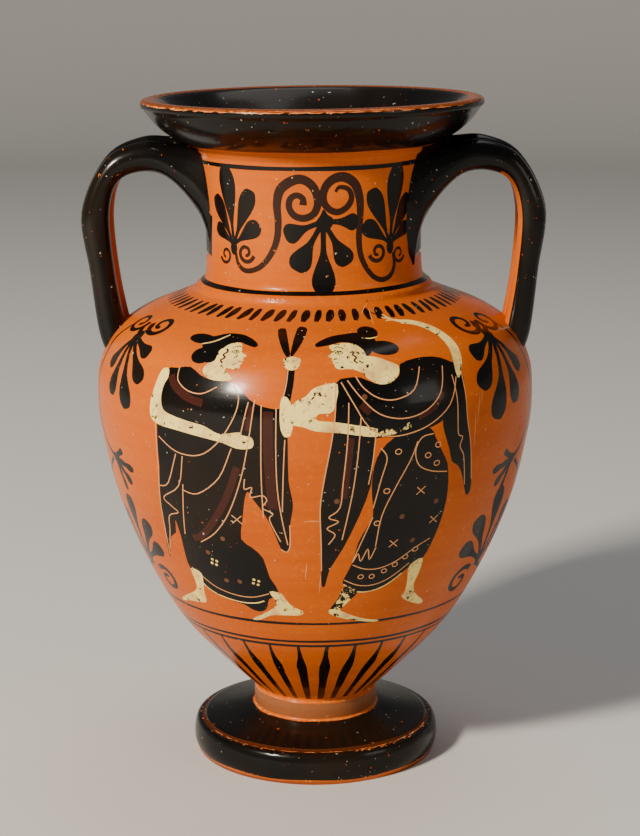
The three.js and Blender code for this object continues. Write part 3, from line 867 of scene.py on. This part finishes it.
def ragged_line(paint, s, start, end, thick, seed):
    """A thin worn line along a turned edge, broken here and there."""
    rng = random.Random(seed)
    a = start
    while a < end:
        run = rng.uniform(3, 12)
        steps = max(2, int(run / 1.2))
        degrees = [a + run * k / steps for k in range(steps + 1)]
        points = [(d * MM_PER_DEGREE, s + rng.uniform(-0.2, 0.2)) for d in degrees]
        widths = [thick * rng.uniform(0.3, 1.2) for _ in points]
        widths[0] = widths[-1] = 0.08
        stroke(paint, points, widths, 1, True)
        a += run + rng.uniform(0.2, 3)


def paint_edges():
    lip = float(along_at(MOUTH_TOP_Z - LIP_FACE_HEIGHT * LIP_BARE_SHARE))
    foot = float(along_at(FOOT_SIDE_HEIGHT + 0.2))
    ragged_line(CHIPPED, lip, -75, 60, 0.65, 31)
    ragged_line(CHIPPED, lip + 0.9, -50, 30, 0.3, 32)
    ragged_line(CHIPPED, foot + 1.0, -60, 75, 0.45, 33)
    ragged_line(CHIPPED, float(along_at(FOOT_HEIGHT)) + 0.2, -80, 80, 0.9, 34)
    ragged_line(CHIPPED, float(along_at(COLLAR_TOP_Z)) - 1.2, -80, 70, 0.7, 35)
    chipped_edge(lip, 60, (-30, 40), (0.3, 1.3), 21)
    chipped_edge(float(along_at(MOUTH_TOP_Z - 0.5)), 40, (10, 60), (0.3, 1.0), 22)
    chipped_edge(foot, 46, (38, 14), (0.4, 1.9), 23)
    chipped_edge(float(along_at(2.2)), 50, (20, 80), (0.3, 1.1), 24)
    chipped_edge(float(along_at(FOOT_HEIGHT)) - 0.6, 44, (25, 50), (0.3, 1.2), 25)
    chipped_edge(float(along_at(COLLAR_TOP_Z)) - 1.4, 24, (-20, 70), (0.3, 1.0), 26)
    chipped_edge(float(along_at(NECK_BASE_Z)) - 0.4, 30, (-10, 60), (0.3, 0.9), 27)


def paint_everything():
    paint_bands()
    paint_rays()
    paint_tongues()
    paint_handle_roots()
    for turn in (0, 180):
        neck_chain(turn)
    for turn in (-90, 90):
        for side in (-1, 1):
            handle_ornament(turn, side, 0.88 if turn < 0 < side else 1.0)
    paint_scene(0)
    paint_scene(180, -1)
    paint_wear()
    paint_edges()


# From outlines to a painted mesh

def split_at_seam(outline):
    """A shape as it lies on the sheet, and again one turn over where it runs past the seam."""
    half = 180 * MM_PER_DEGREE
    xs = [x for x, _ in outline]
    copies = [outline]
    if max(xs) > half + 1e-6:
        copies.append([(x - 2 * half, s) for x, s in outline])
    if min(xs) < -half - 1e-6:
        copies.append([(x + 2 * half, s) for x, s in outline])
    return copies


def clipped(outline, low, high):
    """The part of an outline between two upright lines, or an empty list."""
    for limit, keep_low in ((low, False), (high, True)):
        out = []
        for p, q in zip(outline, outline[1:] + outline[:1]):
            p_in = (p[0] <= limit) if keep_low else (p[0] >= limit)
            q_in = (q[0] <= limit) if keep_low else (q[0] >= limit)
            if p_in:
                out.append(p)
            if p_in != q_in:
                t = (limit - p[0]) / (q[0] - p[0])
                out.append((limit, p[1] + (q[1] - p[1]) * t))
        outline = out
        if len(outline) < 3:
            return []
    return outline


def row_places():
    """Distances along the skin for the mesh rows: close where the outline turns."""
    places, last, turned = [0.0], 0.0, 0.0
    angle = None
    for i in range(1, len(skin)):
        step = skin[i] - skin[i - 1]
        heading = math.atan2(step[1], step[0])
        turned += 0.0 if angle is None else abs((heading - angle + math.pi) % math.tau - math.pi)
        angle = heading
        if turned > ROW_TURN and skin_along[i - 1] - last > 0.2:
            places.append(skin_along[i - 1])
            last, turned = skin_along[i - 1], 0.0
        while skin_along[i] - last > ROW_STEP:
            last += ROW_STEP
            places.append(last)
            turned = 0.0
    if skin_along[-1] - places[-1] < 0.6:
        places.pop()
    return places + [skin_along[-1]]


def painted_sheet():
    """Triangles of the unrolled skin, cut along every painted edge, and each one's paint."""
    half = 180 * MM_PER_DEGREE
    rows = row_places()
    points, edges, areas = [], [], []
    for j, s in enumerate(rows):
        shifted = 0 < j < len(rows) - 1 and j % 2 and rows[j + 1] - rows[j - 1] > 3
        for i in range(COLUMNS + 1):
            x = -half + 2 * half * i / COLUMNS
            if shifted and 0 < i < COLUMNS:
                x += half / COLUMNS
            points.append((x, s))
    count = COLUMNS + 1
    rim = list(range(count)) + [j * count + COLUMNS for j in range(1, len(rows))]
    rim += [(len(rows) - 1) * count + i for i in range(COLUMNS - 1, -1, -1)]
    rim += [j * count for j in range(len(rows) - 2, 0, -1)]
    edges += list(zip(rim, rim[1:] + rim[:1]))
    for paint, outline in shapes:
        for copy in split_at_seam(outline):
            part = clipped(copy, -half, half)
            if len(part) < 3:
                continue
            first = len(points)
            points += part
            edges += [(first + k, first + (k + 1) % len(part)) for k in range(len(part))]
            areas.append((paint, np.array(part)))
    flat = [Vector(p) for p in points]
    verts, _, faces, _, _, _ = delaunay_2d_cdt(flat, edges, [], 0, 1e-4)
    verts = np.array([(v.x, v.y) for v in verts])
    faces = np.array([f for f in faces if len(f) == 3])
    centres = verts[faces].mean(axis=1)
    order = np.argsort(centres[:, 0])
    sorted_x = centres[order, 0]
    paint_of = np.tile(np.array(BARE), (len(faces), 1))
    for paint, area in areas:
        low, high = area.min(axis=0), area.max(axis=0)
        near = order[np.searchsorted(sorted_x, low[0]):np.searchsorted(sorted_x, high[0], side="right")]
        near = near[(centres[near, 1] >= low[1]) & (centres[near, 1] <= high[1])]
        if len(near):
            hit = near[inside(centres[near], area)]
            paint_of[hit] = paint
    return verts, faces, paint_of


def inside(points, area):
    """Which points lie inside a closed outline."""
    x, y = points[:, 0], points[:, 1]
    hit = np.zeros(len(points), bool)
    x0, y0 = area[-1]
    for x1, y1 in area:
        if y0 != y1:
            cross = (y0 > y) != (y1 > y)
            hit ^= cross & (x < (x1 - x0) * (y - y0) / (y1 - y0) + x0)
        x0, y0 = x1, y1
    return hit


def on_pot(degrees, radius, height):
    """Places on the pot, in millimetres; 0 degrees faces the camera and 90 is the handle on +X."""
    angle = np.radians(degrees)
    return np.stack([radius * np.sin(angle), -radius * np.cos(angle), height], axis=-1)


# The texture sheet: the painted front gets more room than the back, the inside and the underside

FRONT_HALF = 82.0
FRONT_SHARE = 0.62
SKIN_TOP = 0.72
SHEET_MARGIN = 0.004


def skin_map(degrees, s):
    back = 180 - FRONT_HALF
    a = np.abs(degrees)
    part = np.where(a <= FRONT_HALF, a / FRONT_HALF * FRONT_SHARE / 2,
                    FRONT_SHARE / 2 + (a - FRONT_HALF) / back * (1 - FRONT_SHARE) / 2)
    u = 0.5 + np.sign(degrees) * part * (1 - 2 * SHEET_MARGIN)
    v = SHEET_MARGIN + (SKIN_TOP - 2 * SHEET_MARGIN) * s / skin_along[-1]
    return np.stack([u, v], axis=-1)


def ring_map(degrees, share, box):
    """A turned surface laid out as a strip in a box of the sheet."""
    u0, v0, u1, v1 = box
    return np.stack([u0 + (u1 - u0) * (degrees + 180) / 360, v0 + (v1 - v0) * share], axis=-1)


ROOM_BOX = (0.004, 0.728, 0.5, 0.90)
UNDERSIDE_BOX = (0.004, 0.905, 0.5, 0.995)
HANDLE_BOXES = {1: (0.51, 0.728, 0.996, 0.86), -1: (0.51, 0.866, 0.996, 0.996)}


def turned_rings(outline, box, paint_rule):
    """Quads of a turned surface that starts at an existing rim and ends in one point."""
    degrees = -180 + 360 * np.arange(COLUMNS + 1) / COLUMNS
    quads, maps, paints = [], [], []
    lengths = np.concatenate([[0], np.cumsum(np.hypot(*np.diff(np.array(outline), axis=0).T))])
    shares = lengths / lengths[-1]
    for k in range(len(outline) - 1):
        (r0, z0), (r1, z1) = outline[k], outline[k + 1]
        for i in range(COLUMNS):
            a0, a1 = degrees[i], degrees[i + 1]
            corners = [(a0, r0, z0, shares[k]), (a1, r0, z0, shares[k]), (a1, r1, z1, shares[k + 1])]
            if r1 > 0:
                corners.append((a0, r1, z1, shares[k + 1]))
            quads.append([c[:3] for c in corners])
            maps.append([ring_map(c[0], c[3], box) for c in corners])
            paints.append(paint_rule((r0 + r1) / 2, (z0 + z1) / 2))
    return quads, maps, paints


def pot_mesh():
    """The whole hollow pot without its handles, closed, with its paint and its texture sheet."""
    verts, faces, paint_of = painted_sheet()
    degrees = verts[:, 0] / MM_PER_DEGREE
    radius = np.interp(verts[:, 1], skin_along, skin[:, 0])
    height = np.interp(verts[:, 1], skin_along, skin[:, 1])
    places = [tuple(p) for p in on_pot(degrees, radius, height)]
    uv = skin_map(degrees, verts[:, 1])
    polygons = [tuple(f) for f in faces]
    loops_uv = [tuple(uv[v]) for f in faces for v in f]
    paints = [tuple(p) for p in paint_of]

    black_above = NECK_TOP_Z - INSIDE_BLACK_DEPTH
    crest = (MOUTH_RADIUS - LIP_TOP_WIDTH / 2, MOUTH_TOP_Z)

    def room_paint(r, z):
        on_lip = r > MOUTH_RADIUS - LIP_TOP_WIDTH * LIP_INNER_SHARE
        return WASH if on_lip else BLACK if z > black_above else BARE

    rim_below = (float(skin[0, 0]), float(skin[0, 1]))
    for outline, box, rule in (
        ([crest] + room_outline(), ROOM_BOX, room_paint),
        ([rim_below] + underside_outline(), UNDERSIDE_BOX, lambda r, z: BARE),
    ):
        quads, maps, more = turned_rings(outline, box, rule)
        down = outline[0][1] < 1
        for quad, sheet, paint in zip(quads, maps, more):
            first = len(places)
            for a, r, z in quad:
                places.append(tuple(on_pot(a, r, z)))
            corners = list(range(first, first + len(quad)))
            if down:
                corners, sheet = corners[::-1], sheet[::-1]
            polygons.append(tuple(corners))
            loops_uv += [tuple(p) for p in sheet]
            paints.append(paint)
    return object_from("painted_amphora", places, polygons, loops_uv, paints)


def object_from(name, places, polygons, loops_uv, paints):
    mesh = bpy.data.meshes.new(name)
    mesh.from_pydata((lean(places) * MM).tolist(), [], polygons)
    layer = mesh.uv_layers.new(name="OFBake")
    layer.data.foreach_set("uv", np.array(loops_uv, np.float32).ravel())
    colour = mesh.color_attributes.new("paint", "FLOAT_COLOR", "CORNER")
    corner_counts = [len(p) for p in polygons]
    per_corner = np.repeat(np.array(paints, np.float32), corner_counts, axis=0)
    colour.data.foreach_set("color", per_corner.ravel())
    ob = bpy.data.objects.new(name, mesh)
    bpy.context.collection.objects.link(ob)
    alone(ob)
    bpy.ops.object.mode_set(mode="EDIT")
    bpy.ops.mesh.select_all(action="SELECT")
    bpy.ops.mesh.remove_doubles(threshold=2e-7)
    bpy.ops.mesh.normals_make_consistent(inside=False)
    bpy.ops.object.mode_set(mode="OBJECT")
    return ob


def alone(ob):
    bpy.ops.object.select_all(action="DESELECT")
    ob.select_set(True)
    bpy.context.view_layer.objects.active = ob


# Handles

def roll_section(steps=11):
    """Outline of three rolls side by side, as shares of half width and half thickness."""
    roll = 1 - ROLL_SPACING_SHARE
    lift = MIDDLE_ROLL_RISE_SHARE * roll
    half = Vector((ROLL_SPACING_SHARE, -lift)) / 2
    reach = math.sqrt(roll**2 - half.length_squared)
    across = Vector((-half.y, half.x)).normalized() * reach
    middle = Vector((ROLL_SPACING_SHARE, lift)) / 2
    upper, lower = middle + across, middle - across
    side = Vector((ROLL_SPACING_SHARE, 0))
    start = math.atan2(lower.y - side.y, lower.x - side.x) % math.tau - math.tau
    end = math.atan2(upper.y - side.y, upper.x - side.x) % math.tau
    right = []
    for i in range(steps + 1):
        t = start + (end - start) * i / steps
        right.append((side.x + roll * math.cos(t), side.y + roll * math.sin(t)))
    inner = [upper.x * k for k in (0.72, 0.38, 0.0, -0.38, -0.72)]
    top = [(x, lift + math.sqrt(roll**2 - x**2)) for x in inner]
    bottom = [(-x, lift - math.sqrt(roll**2 - x**2)) for x in inner]
    left = [(-x, y) for x, y in right[::-1]]
    return [(x, y / roll) for x, y in right + top + left + bottom]


def shoulder_z(r):
    outline = shoulder_outline()[::-1]
    return np.interp(r, [p[0] for p in outline], [p[1] for p in outline])


def shoulder_radius(z):
    outline = shoulder_outline()
    return float(np.interp(z, [p[1] for p in outline], [p[0] for p in outline]))


def handle_stations():
    """Outer edge, inner edge and width of a handle from the neck over the apex to the shoulder."""
    seat_z = SHOULDER_TOP_Z - SEAT_DROP
    seat = shoulder_radius(seat_z)
    reach = seat + ARM_SWING
    apex_z = NECK_TOP_Z + APEX_RISE
    root_z = NECK_BASE_Z + ROOT_CLEARANCE
    apex_r = (NECK_RADIUS + reach) / 2
    arm_in = reach - HANDLE_THICKNESS - ARM_TAPER / 2
    arm_z = (seat_z + apex_z) / 2 + HANDLE_THICKNESS
    low_z = arm_z - ARM_LENGTH
    web_z = root_z + HANDLE_THICKNESS * 1.2
    neck = NECK_RADIUS
    return [
        (neck - 2, NECK_TOP_Z + 1, neck - 4, root_z - 9, ROOT_WIDTH),
        (neck + ROOT_WEB_REACH, NECK_TOP_Z + 2.4, neck + 1.1, web_z, ROOT_WEB_WIDTH),
        (apex_r, apex_z, apex_r - 9.5, apex_z - 15, HANDLE_WIDTH + 2),
        (reach - 11, apex_z - 7.8, reach - 18.5, apex_z - 16, HANDLE_WIDTH),
        (reach, arm_z, arm_in, arm_z, HANDLE_WIDTH),
        (reach - 2 * ARM_TAPER, low_z, arm_in - ARM_TAPER, low_z, HANDLE_WIDTH),
        (seat + 6, seat_z, seat - 6, seat_z + 2, HANDLE_WIDTH + 1),
        (seat + 1.5, seat_z - SEAT_DEPTH, seat - 10, seat_z - SEAT_DEPTH * 0.75, HANDLE_WIDTH + 3),
    ]


def into_neck_wall(point):
    """Moves a point of a handle's upper end to the middle of the neck's wall."""
    room = [p for p in room_outline() if p[1] > NECK_BASE_Z][::-1]
    point[2] = min(point[2], NECK_TOP_Z + 1)
    inner = np.interp(point[2], [p[1] for p in room], [p[0] for p in room])
    outer = np.interp(point[2], skin[:, 1], skin[:, 0])
    point[0] = math.sqrt(((inner + outer) / 2) ** 2 - point[1] ** 2)


def into_shoulder_wall(point):
    """Moves a point of a handle's lower end to the middle of the shoulder's wall."""
    r = min(math.hypot(point[0], point[1]), BELLY_RADIUS - 1.5)
    point[2] = float(shoulder_z(r)) - BODY_WALL * 0.5


def handle_mesh(name, side):
    """One handle as a closed loft whose ends lie inside the pot's wall."""
    stations = through(handle_stations(), 7)
    section = roll_section()
    count = len(section)
    arm = handle_stations()[4][0]
    slope = math.tan(HANDLE_SKEW)
    rings = []
    for x_out, z_out, x_in, z_in, width in stations:
        ring = []
        for across, through_share in section:
            share = (through_share + 1) / 2
            x, z = x_in + (x_out - x_in) * share, z_in + (z_out - z_in) * share
            ring.append([x, across * width / 2 - (arm - x) * slope, z])
        rings.append(ring)
    for point in rings[0]:
        into_neck_wall(point)
    for point in rings[-1]:
        into_shoulder_wall(point)
    rings = rings[:1] + [ring for ring in rings[1:-1] if not buried(ring)] + rings[-1:]
    places = [tuple(p) for ring in rings for p in ring]
    polygons, loops_uv, paints = [], [], []
    box = HANDLE_BOXES[side]
    last = len(rings) - 1
    for k in range(last):
        for i in range(count):
            j = (i + 1) % count
            polygons.append((k * count + i, k * count + j, (k + 1) * count + j, (k + 1) * count + i))
            for kk, ii in ((k, i), (k, i + 1), (k + 1, i + 1), (k + 1, i)):
                u = box[0] + (box[2] - box[0]) * kk / last
                v = box[1] + (box[3] - box[1]) * ii / count
                loops_uv.append((u, v))
            paints.append(handle_paint(k / last, section[i], section[j], side))
    for k in (0, last):
        ring = rings[k]
        centre = [sum(p[n] for p in ring) / count for n in range(3)]
        if k == 0:
            into_neck_wall(centre)
        else:
            into_shoulder_wall(centre)
        places.append(tuple(centre))
        middle = len(places) - 1
        for i in range(count):
            pair = (k * count + (i + 1) % count, k * count + i)
            polygons.append((middle,) + (pair if k == 0 else pair[::-1]))
            loops_uv += [(box[0], box[1])] * 3
            paints.append(BARE)
    if side < 0:
        places = [(-x, -y, z) for x, y, z in places]
    return object_from(name, places, polygons, loops_uv, paints)


def buried(ring):
    """Whether all of a handle ring's points lie inside the pot's skin."""
    radii = [np.interp(p[2], skin[:, 1], skin[:, 0]) for p in ring]
    return all(math.hypot(p[0], p[1]) < r - BURIED_DEPTH for p, r in zip(ring, radii))


def handle_paint(share, here, after, side):
    """A strip down the middle of the inner face is left bare; it starts thin below the apex."""
    level = (here[1] + after[1]) / 2
    frontward = -side * (here[0] + after[0]) / 2
    start, reach = BARE_STRIPS[side]
    grown = min(max((share - start) / BARE_STRIP_GROWTH, 0), 1)
    front = (reach + BARE_STRIP_BACK) * grown - BARE_STRIP_BACK
    if level < BARE_STRIP_LEVEL and -BARE_STRIP_BACK < frontward < front:
        return BARE
    return BLACK


def joined(base, part):
    """Joins part to base by a boolean union and removes part."""
    alone(base)
    mod = base.modifiers.new("join", "BOOLEAN")
    mod.operation = "UNION"
    mod.solver = "EXACT"
    mod.material_mode = "TRANSFER"
    mod.object = part
    bpy.ops.object.modifier_apply(modifier=mod.name)
    bpy.data.objects.remove(part)


# Shader maths

class Val:
    """A shader value that can be used in expressions."""

    def __init__(self, tree, socket):
        self.tree, self.socket = tree, socket

    def maths(self, operation, first, second, clamp=False):
        node = self.tree.nodes.new("ShaderNodeMath")
        node.operation, node.use_clamp = operation, clamp
        for slot, value in zip(node.inputs, (first, second)):
            if isinstance(value, Val):
                self.tree.links.new(value.socket, slot)
            else:
                slot.default_value = value
        return Val(self.tree, node.outputs[0])

    def __add__(self, other):
        return self.maths("ADD", self, other)

    __radd__ = __add__

    def __sub__(self, other):
        return self.maths("SUBTRACT", self, other)

    def __rsub__(self, other):
        return self.maths("SUBTRACT", other, self)

    def __mul__(self, other):
        return self.maths("MULTIPLY", self, other)

    __rmul__ = __mul__

    def above(self, edge, soft):
        """0 below the edge and 1 above it, with a soft step."""
        raised = self.maths("MAXIMUM", (self - (edge - soft)) * (0.5 / soft), 0.0)
        return self.maths("MINIMUM", raised, 1.0)

    def clamped(self):
        return self.maths("ADD", self, 0.0, clamp=True)


class Finish:
    """A material whose nodes are added by name."""

    def __init__(self, name):
        self.material = bpy.data.materials.new(name)
        self.material.use_nodes = True
        self.tree = self.material.node_tree
        self.shader = self.tree.nodes["Principled BSDF"]
        self.place = self.node("ShaderNodeTexCoord").outputs["Object"]

    def node(self, kind, settings=None, values=None):
        made = self.tree.nodes.new(kind)
        for key, value in (settings or {}).items():
            setattr(made, key, value)
        for key, value in (values or {}).items():
            if isinstance(value, Val):
                value = value.socket
            if isinstance(value, bpy.types.NodeSocket):
                self.tree.links.new(value, made.inputs[key])
            else:
                made.inputs[key].default_value = value
        return made

    def noise(self, scale, detail=3.0, stretch=(1, 1, 1), rough=0.55):
        mapped = self.node("ShaderNodeMapping", None, {"Vector": self.place, "Scale": stretch})
        values = {"Vector": mapped.outputs[0], "Scale": scale, "Detail": detail, "Roughness": rough}
        return Val(self.tree, self.node("ShaderNodeTexNoise", None, values).outputs[0])

    def mix(self, share, low, high):
        made = self.node("ShaderNodeMix", {"data_type": "RGBA"})
        self.tree.links.new(share.socket, made.inputs[0])
        for slot, value in ((6, low), (7, high)):
            if isinstance(value, tuple):
                made.inputs[slot].default_value = value + (1.0,)
            else:
                self.tree.links.new(value, made.inputs[slot])
        return made.outputs[2]

    def feed(self, name, value):
        self.tree.links.new(value.socket if isinstance(value, Val) else value, self.shader.inputs[name])

    def bump(self, height, strength, distance):
        values = {"Height": height, "Strength": strength, "Distance": distance}
        self.feed("Normal", self.node("ShaderNodeBump", None, values).outputs[0])


# Colours and gloss of the fired surface

CLAY = (0.64, 0.130, 0.002)
CLAY_DEEP = (0.50, 0.082, 0.001)
CLAY_PALE = (0.72, 0.20, 0.020)
SLIP = (0.0036, 0.0032, 0.0028)
SLIP_BROWN = (0.012, 0.007, 0.004)
CREAM = (0.97, 0.75, 0.23)
CREAM_DIRTY = (0.64, 0.38, 0.15)
MAROON = (0.055, 0.014, 0.009)
CUT = (0.72, 0.33, 0.13)
LIME = (0.72, 0.62, 0.46)
COAT_ON_CLAY = 0.08
COAT_MORE_ON_SLIP = 0.14
COAT_LOST_ON_WHITE = 0.9
COAT_ROUGHNESS = 0.12
SPECULAR_LEVEL = 0.1
BUMP_STRENGTH = 0.5
BUMP_DISTANCE = 0.0006


def fired_clay(name, worn=1.0):
    """Orange clay under semi-gloss black slip, with added white and red and cut lines."""
    f = Finish(name)
    paint = f.node("ShaderNodeAttribute", {"attribute_name": "paint"})
    split = f.node("ShaderNodeSeparateColor", None, {"Color": paint.outputs["Color"]})
    slip, white, red = (Val(f.tree, split.outputs[i]) for i in range(3))
    cut = Val(f.tree, paint.outputs["Alpha"])

    broad = f.noise(9, 2)
    rings = f.noise(30, 3, (0.35, 0.35, 9))
    fine = f.noise(420, 3)
    grain = f.noise(1500, 2)
    clay = f.mix((broad * 0.7 + rings * 0.3).above(0.52, 0.16), CLAY_DEEP, CLAY)
    clay = f.mix(fine.above(0.66, 0.1) * 0.35, clay, CLAY_PALE)

    chip = f.noise(430, 2, rough=0.7).above(0.75 - 0.008 * worn, 0.006)
    rub = f.noise(60, 4, rough=0.75).above(0.76, 0.03) * 0.4
    black = f.mix(f.noise(14, 3).above(0.56, 0.1), SLIP, SLIP_BROWN)
    black_share = (slip * (1 - chip) * (1 - rub * 0.35)).clamped()
    colour = f.mix(black_share, clay, black)
    colour = f.mix(red * (0.62 + 0.3 * fine), colour, MAROON)

    flake = f.noise(340, 4, rough=0.7)
    white_share = (white.above(0.1, 0.05) * (flake + white * 0.3).above(0.695, 0.02)).clamped()
    cream = f.mix(f.noise(110, 3).above(0.58, 0.12), CREAM, CREAM_DIRTY)
    cream = f.mix(f.noise(900, 3, rough=0.7).above(0.6, 0.06) * 0.55, cream, CREAM_DIRTY)
    colour = f.mix(white_share, colour, cream)
    colour = f.mix(cut * 0.9, colour, CUT)
    dust = f.noise(520, 2, rough=0.6).above(0.732, 0.01) * 0.6
    colour = f.mix(dust, colour, LIME)
    f.feed("Base Color", colour)

    rough = 0.24 + 0.10 * fine - 0.04 * black_share + 0.40 * white_share + 0.3 * cut + 0.2 * dust
    f.feed("Roughness", rough.clamped())
    height = rings * 0.25 + broad * 0.12 + grain * 0.05
    height = height + black_share * 0.03 + white_share * 0.08 - cut * 0.10
    f.bump(height, BUMP_STRENGTH, BUMP_DISTANCE)
    coat = (COAT_ON_CLAY + COAT_MORE_ON_SLIP * black_share) * (1 - COAT_LOST_ON_WHITE * white_share)
    f.feed("Coat Weight", coat)
    f.shader.inputs["Coat Roughness"].default_value = COAT_ROUGHNESS
    f.shader.inputs["Specular IOR Level"].default_value = SPECULAR_LEVEL
    return f.material


def floor_finish():
    f = Finish("studio floor")
    tone = f.noise(3, 2)
    f.feed("Base Color", f.mix(tone * 0.25, (0.66, 0.655, 0.645), (0.60, 0.595, 0.585)))
    f.shader.inputs["Roughness"].default_value = 0.75
    return f.material


# Smooth shading as the turned form really curves

OUTLINE_STEP = 0.06
OUTLINE_REACH = 0.35
NEAR_OUTLINE = 0.3


def turned_normals(ob, wall_slots):
    """Gives the turned surfaces the normals of their true outlines; handles keep their own."""
    lines = [
        skin, np.array([(MOUTH_RADIUS - LIP_TOP_WIDTH / 2, MOUTH_TOP_Z)] + room_outline()),
        np.array([tuple(skin[0])] + underside_outline()),
    ]
    samples, normals = [], []
    for k, line in enumerate(lines):
        lengths = np.concatenate([[0], np.cumsum(np.hypot(*np.diff(line, axis=0).T))])
        even = np.arange(0, lengths[-1], OUTLINE_STEP)
        here, back, on = (
            np.stack([np.interp(even + way * OUTLINE_REACH, lengths, line[:, i]) for i in (0, 1)], 1)
            for way in (0, -1, 1)
        )
        d = on - back
        d /= np.maximum(np.hypot(d[:, 0], d[:, 1]), 1e-9)[:, None]
        samples.append(here)
        normals.append(np.stack([d[:, 1], -d[:, 0]], 1) * (1 if k < 2 else -1))
    samples, normals = np.concatenate(samples), np.concatenate(normals)
    tree = kdtree.KDTree(len(samples))
    for i, (r, z) in enumerate(samples):
        tree.insert((r, z, 0), i)
    tree.balance()
    mesh = ob.data
    co = np.empty(len(mesh.vertices) * 3, np.float32)
    mesh.vertices.foreach_get("co", co)
    co = unleaned(co.reshape(-1, 3) / MM)
    vertex_normals = np.zeros((len(co), 3))
    for i, (x, y, z) in enumerate(co):
        r = math.hypot(x, y)
        _, index, gap = tree.find((r, z, 0))
        if gap < NEAR_OUTLINE:
            n = normals[index]
            vertex_normals[i] = (n[0] * x / max(r, 1e-9), n[0] * y / max(r, 1e-9), n[1])
    loops = []
    for poly in mesh.polygons:
        keep = poly.material_index in wall_slots
        for v in poly.vertices:
            loops.append(tuple(vertex_normals[v]) if keep else (0.0, 0.0, 0.0))
    mesh.shade_smooth()
    mark_joint_edges(mesh)
    mesh.normals_split_custom_set(loops)


def mark_joint_edges(mesh):
    """Edges between the handles and the wall stay sharp."""
    slots = {}
    for poly in mesh.polygons:
        for key in poly.edge_keys:
            slots.setdefault(key, set()).add(poly.material_index)
    sharp = [len(slots.get(e.key, ())) > 1 for e in mesh.edges]
    mesh.edges.foreach_set("use_edge_sharp", sharp)


def unleaned(points):
    """The inverse of the lean, by a few corrections."""
    guess = points.astype(float).copy()
    for _ in range(3):
        guess -= lean(guess) - points
    return guess


# The pot

paint_everything()
amphora = pot_mesh()
amphora.data.materials.append(fired_clay("painted clay"))
handle_finish = fired_clay("handle slip", 3.0)
for piece_name, side in (("right handle", 1), ("left handle", -1)):
    part = handle_mesh(piece_name, side)
    part.data.materials.append(handle_finish)
    joined(amphora, part)
turned_normals(amphora, {0})
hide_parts("amphora")
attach(amphora, "root")


# Studio: floor that sweeps up behind, soft lights, camera

FLOOR_REACH = 2.6
FLOOR_BEND = 0.9
BEND_STEPS = 14


def studio_floor():
    """A round pale floor whose rim curves up on all sides."""
    top = FLOOR_BEND * (1 - math.cos(math.pi / 2))
    radius = FLOOR_REACH + FLOOR_BEND
    bpy.ops.object.select_all(action="DESELECT")
    bpy.ops.mesh.primitive_circle_add(vertices=96, radius=radius, location=(0, 0, top))
    floor = bpy.context.object
    floor.name = "floor"
    bpy.ops.object.transform_apply()
    bpy.ops.object.mode_set(mode="EDIT")
    bpy.ops.mesh.select_all(action="SELECT")
    for i in range(1, BEND_STEPS + 1):
        t = math.pi / 2 * (1 - i / BEND_STEPS)
        next_radius = FLOOR_REACH + FLOOR_BEND * math.sin(t)
        next_z = FLOOR_BEND * (1 - math.cos(t))
        bpy.ops.mesh.extrude_region_move(TRANSFORM_OT_translate={"value": (0, 0, next_z - top)})
        share = next_radius / radius
        bpy.ops.transform.resize(value=(share, share, 1))
        radius, top = next_radius, next_z
    bpy.ops.mesh.edge_face_add()
    bpy.ops.mesh.select_all(action="SELECT")
    bpy.ops.mesh.normals_make_consistent(inside=True)
    bpy.ops.object.mode_set(mode="OBJECT")
    bpy.ops.object.shade_smooth()
    floor.data.materials.append(floor_finish())


def area_light(name, place, target, size, watts, colour=(1, 1, 1)):
    data = bpy.data.lights.new(name, "AREA")
    data.energy, data.size, data.color = watts, size, colour
    ob = bpy.data.objects.new(name, data)
    ob.location = place
    ob.rotation_euler = (Vector(target) - Vector(place)).to_track_quat("-Z", "Y").to_euler()
    bpy.context.collection.objects.link(ob)


CAMERA_AZIMUTH = math.radians(1.25)
CAMERA_DISTANCE = 0.9404
CAMERA_HEIGHT = 0.3687
CAMERA_PITCH = 0.22338
CAMERA_YAW = 0.00316
CAMERA_LENS = 91.4
SKY_COLOUR = (0.9, 0.92, 0.95, 1)
SKY_STRENGTH = 0.12


def studio():
    studio_floor()
    area_light("key", (-1.47, -1.6, 1.42), (0, 0, 0.16), size=0.32, watts=112, colour=(1.0, 0.9, 0.74))
    area_light("fill", (1.7, -1.0, 0.8), (0, 0, 0.14), size=0.7, watts=4.0, colour=(1.0, 0.96, 0.9))
    area_light("top", (0.2, 0.6, 1.9), (0, 0, 0.1), size=1.0, watts=7)
    world = bpy.data.worlds.new("studio")
    bpy.context.scene.world = world
    world.use_nodes = True
    sky = world.node_tree.nodes["Background"]
    sky.inputs["Color"].default_value = SKY_COLOUR
    sky.inputs["Strength"].default_value = SKY_STRENGTH
    camera = bpy.data.objects.new("camera", bpy.data.cameras.new("camera"))
    bpy.context.collection.objects.link(camera)
    camera.data.lens = CAMERA_LENS
    camera.location = (
        CAMERA_DISTANCE * math.sin(CAMERA_AZIMUTH),
        -CAMERA_DISTANCE * math.cos(CAMERA_AZIMUTH),
        CAMERA_HEIGHT,
    )
    camera.rotation_euler = Euler((math.pi / 2 - CAMERA_PITCH, 0, CAMERA_AZIMUTH - CAMERA_YAW))
    bpy.context.scene.camera = camera


studio()
